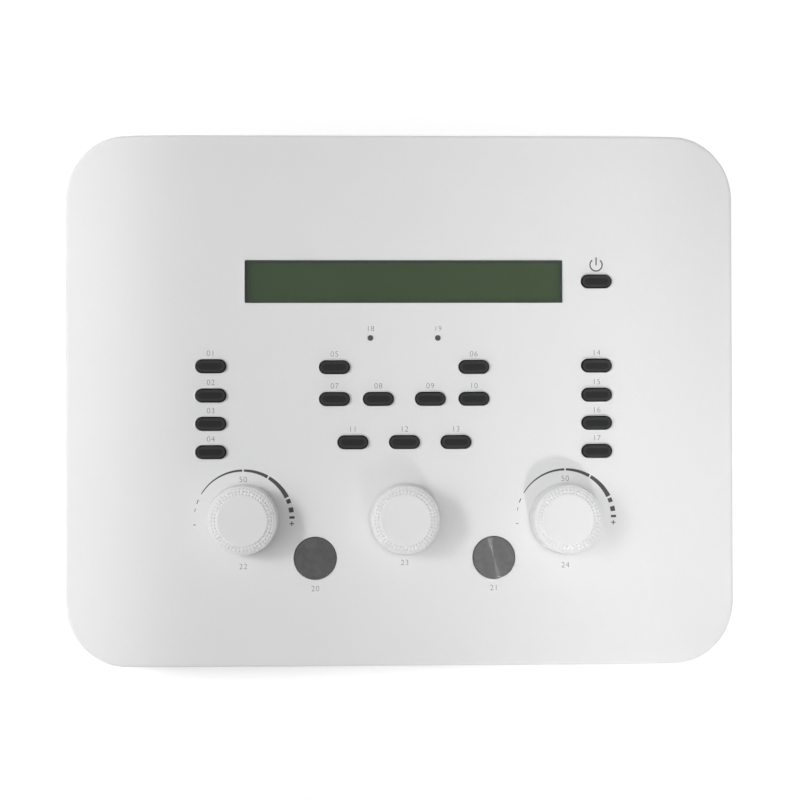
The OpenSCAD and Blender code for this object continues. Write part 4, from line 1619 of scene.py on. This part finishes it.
@dataclass(frozen=True)
class SoftLamp:
    """One soft lamp, placed by where it stands as seen from the spot that it points at.

    Attributes:
        name: Its name.
        bearing: Its direction in plan, in degrees counter-clockwise from the right.
        climb: How high it stands, in degrees over the floor.
        far: How far it stands from its aim.
        aim: The x and y of the spot that it points at.
        size: Its width and its depth.
        spread: The angle that its grid lets through, in degrees.
        power: Its power in watts.
        mirrored: Whether glossy surfaces show it.
        aim_z: The height of the spot that it points at.
    """

    name: str
    bearing: float
    climb: float
    far: float
    aim: tuple[float, float]
    size: tuple[float, float]
    spread: float
    power: float
    mirrored: bool = False
    aim_z: float = 0.04

    def build(self) -> None:
        """Makes the lamp."""
        turn, rise = math.radians(self.bearing), math.radians(self.climb)
        back = Vector((math.cos(turn) * math.cos(rise), math.sin(turn) * math.cos(rise), math.sin(rise)))
        data = bpy.data.lights.new(self.name, "AREA")
        data.shape = "RECTANGLE"
        data.size, data.size_y = self.size
        data.energy = self.power
        data.spread = math.radians(self.spread)
        lamp = link(self.name, data)
        lamp.location = Vector((*self.aim, self.aim_z)) + back * self.far
        lamp.rotation_euler = (-back).to_track_quat("-Z", "Y").to_euler()
        lamp.visible_glossy = self.mirrored


@dataclass
class Studio:
    """A pale floor and surround, soft lamps, and a camera over the panel, a little left of its middle.

    Attributes:
        panel: The panel's axes.
        camera_at: The camera's place in layout axes.
        camera_turns: How far it is turned about its own y, x and z, in degrees.
        lens_mm: Its focal length.
        sensor_mm: Its sensor's width.
        shift: How far its lens is shifted.
        wall_span: Between which heights of the surround its walls' light turns into the top's.
        wall_light: The light of the surround's low walls.
        top_light: The light from above.
        floor_half: Half the floor's width.
        floor_z: The floor's level.
        paper_tone: The floor's grey.
        floor_glow: What is added where the floor is seen, so that it is as white as the surround.
    """

    panel: PanelSpace
    camera_at: tuple[float, float, float] = (-35.1 * MM, -6.0 * MM, 1000 * MM)
    camera_turns: tuple[float, float, float] = (-2.31, 0.71, -0.15)
    lens_mm: float = 100.0
    sensor_mm: float = 36.0
    shift: tuple[float, float] = (-0.0199, -0.0174)
    wall_span: tuple[float, float] = (0.2, 0.5)
    wall_light: float = 0.7
    top_light: float = 0.235
    floor_half: float = 3.0
    floor_z: float = -0.2 * MM
    paper_tone: float = 0.8
    floor_glow: float = 0.385

    def camera(self) -> None:
        """Sets the camera."""
        data = bpy.data.cameras.new("studio_camera")
        data.lens = self.lens_mm
        data.sensor_width = self.sensor_mm
        data.shift_x, data.shift_y = self.shift
        data.clip_end = 50
        camera = link("studio_camera", data)
        turn = Matrix.Identity(4)
        for axis, degrees in zip("YXZ", self.camera_turns):
            turn = turn @ Matrix.Rotation(math.radians(degrees), 4, axis)
        camera.matrix_world = self.panel.at(*self.camera_at) @ turn
        bpy.context.scene.camera = camera

    def lamps(self) -> None:
        """Lights the object: three soft lamps on the left, a strip overhead and a small spot in front."""
        for lamp in (
            SoftLamp("left_key", bearing=172, climb=51, far=1.1, aim=(-0.22, 0.0), size=(0.6, 0.3),
                     spread=26, power=0.34),
            SoftLamp("left_soft", bearing=195, climb=45, far=1.2, aim=(-0.2, 0.0), size=(1.0, 1.0),
                     spread=50, power=0.674),
            SoftLamp("left_top", bearing=180, climb=75, far=1.2, aim=(-0.2, 0.0), size=(1.0, 1.0),
                     spread=50, power=0.279),
            SoftLamp("right_top", bearing=0, climb=86, far=1.2, aim=(0.18, -0.02), size=(0.9, 0.3),
                     spread=18, power=0.237),
            SoftLamp("front_spot", bearing=277, climb=41, far=1.1, aim=(0.18, -0.05), size=(0.07, 0.07),
                     spread=26, power=0.108, mirrored=True),
        ):
            lamp.build()

    def bright_rays(self, graph: Graph) -> bpy.types.NodeSocket:
        """Gives 1 for rays that see a background, in the camera, a reflection or a clear piece.

        Args:
            graph: Takes the new nodes.

        Returns:
            The mask.
        """
        path = graph.add("ShaderNodeLightPath").outputs
        seen = graph.math("MAXIMUM", path["Is Camera Ray"], path["Is Glossy Ray"])
        return graph.math("MAXIMUM", seen, path["Is Transmission Ray"])

    def sky(self) -> None:
        """Makes a white surround that lights the object softly, more from its low walls than from above."""
        world = bpy.data.worlds.new("studio_world")
        bpy.context.scene.world = world
        graph = Graph(empty_tree(world))
        place = graph.add("ShaderNodeTexCoord").outputs["Generated"]
        height = graph.add("ShaderNodeSeparateXYZ", Vector=place).outputs["Z"]
        wall = graph.remap(height, self.wall_span, (self.wall_light, self.top_light))
        light, seen = (graph.add("ShaderNodeBackground", Color=rgba(1.0), Strength=strength)
                       for strength in (wall, 1.0))
        both = graph.add("ShaderNodeMixShader", self.bright_rays(graph), light.outputs["Background"],
                         seen.outputs["Background"])
        graph.add("ShaderNodeOutputWorld", Surface=both.outputs["Shader"])

    def floor(self) -> None:
        """Makes a pale floor that keeps the object's shadow."""
        half = self.floor_half
        skin = Skin()
        skin.cap(skin.ring([(-half, -half), (half, -half), (half, half), (-half, half)], self.floor_z))
        floor = skin.build("studio_floor", Matrix.Identity(4))
        material = bpy.data.materials.new("floor_paper")
        graph = Graph(empty_tree(material))
        paper = graph.add("ShaderNodeBsdfDiffuse", Color=rgba(self.paper_tone))
        lift = graph.math("MULTIPLY", self.bright_rays(graph), self.floor_glow)
        glow = graph.add("ShaderNodeEmission", Strength=lift)
        both = graph.add("ShaderNodeAddShader", paper.outputs["BSDF"], glow.outputs["Emission"])
        graph.add("ShaderNodeOutputMaterial", Surface=both.outputs["Shader"])
        floor.data.materials.append(material)

    def build(self) -> None:
        """Sets up the camera, the lamps, the surround and the floor."""
        bpy.context.scene.view_settings.view_transform = "Standard"
        self.camera()
        self.lamps()
        self.sky()
        self.floor()


def main() -> None:
    """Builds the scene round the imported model."""
    logging.basicConfig(level=logging.INFO, format="%(name)s: %(message)s")
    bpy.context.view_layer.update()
    panel = PanelSpace.from_joints(frame["joints"], dial_row=OUTER_ROW)
    Studio(panel).build()
    Assembly(panel).build()


if __name__ == "__main__":
    main()
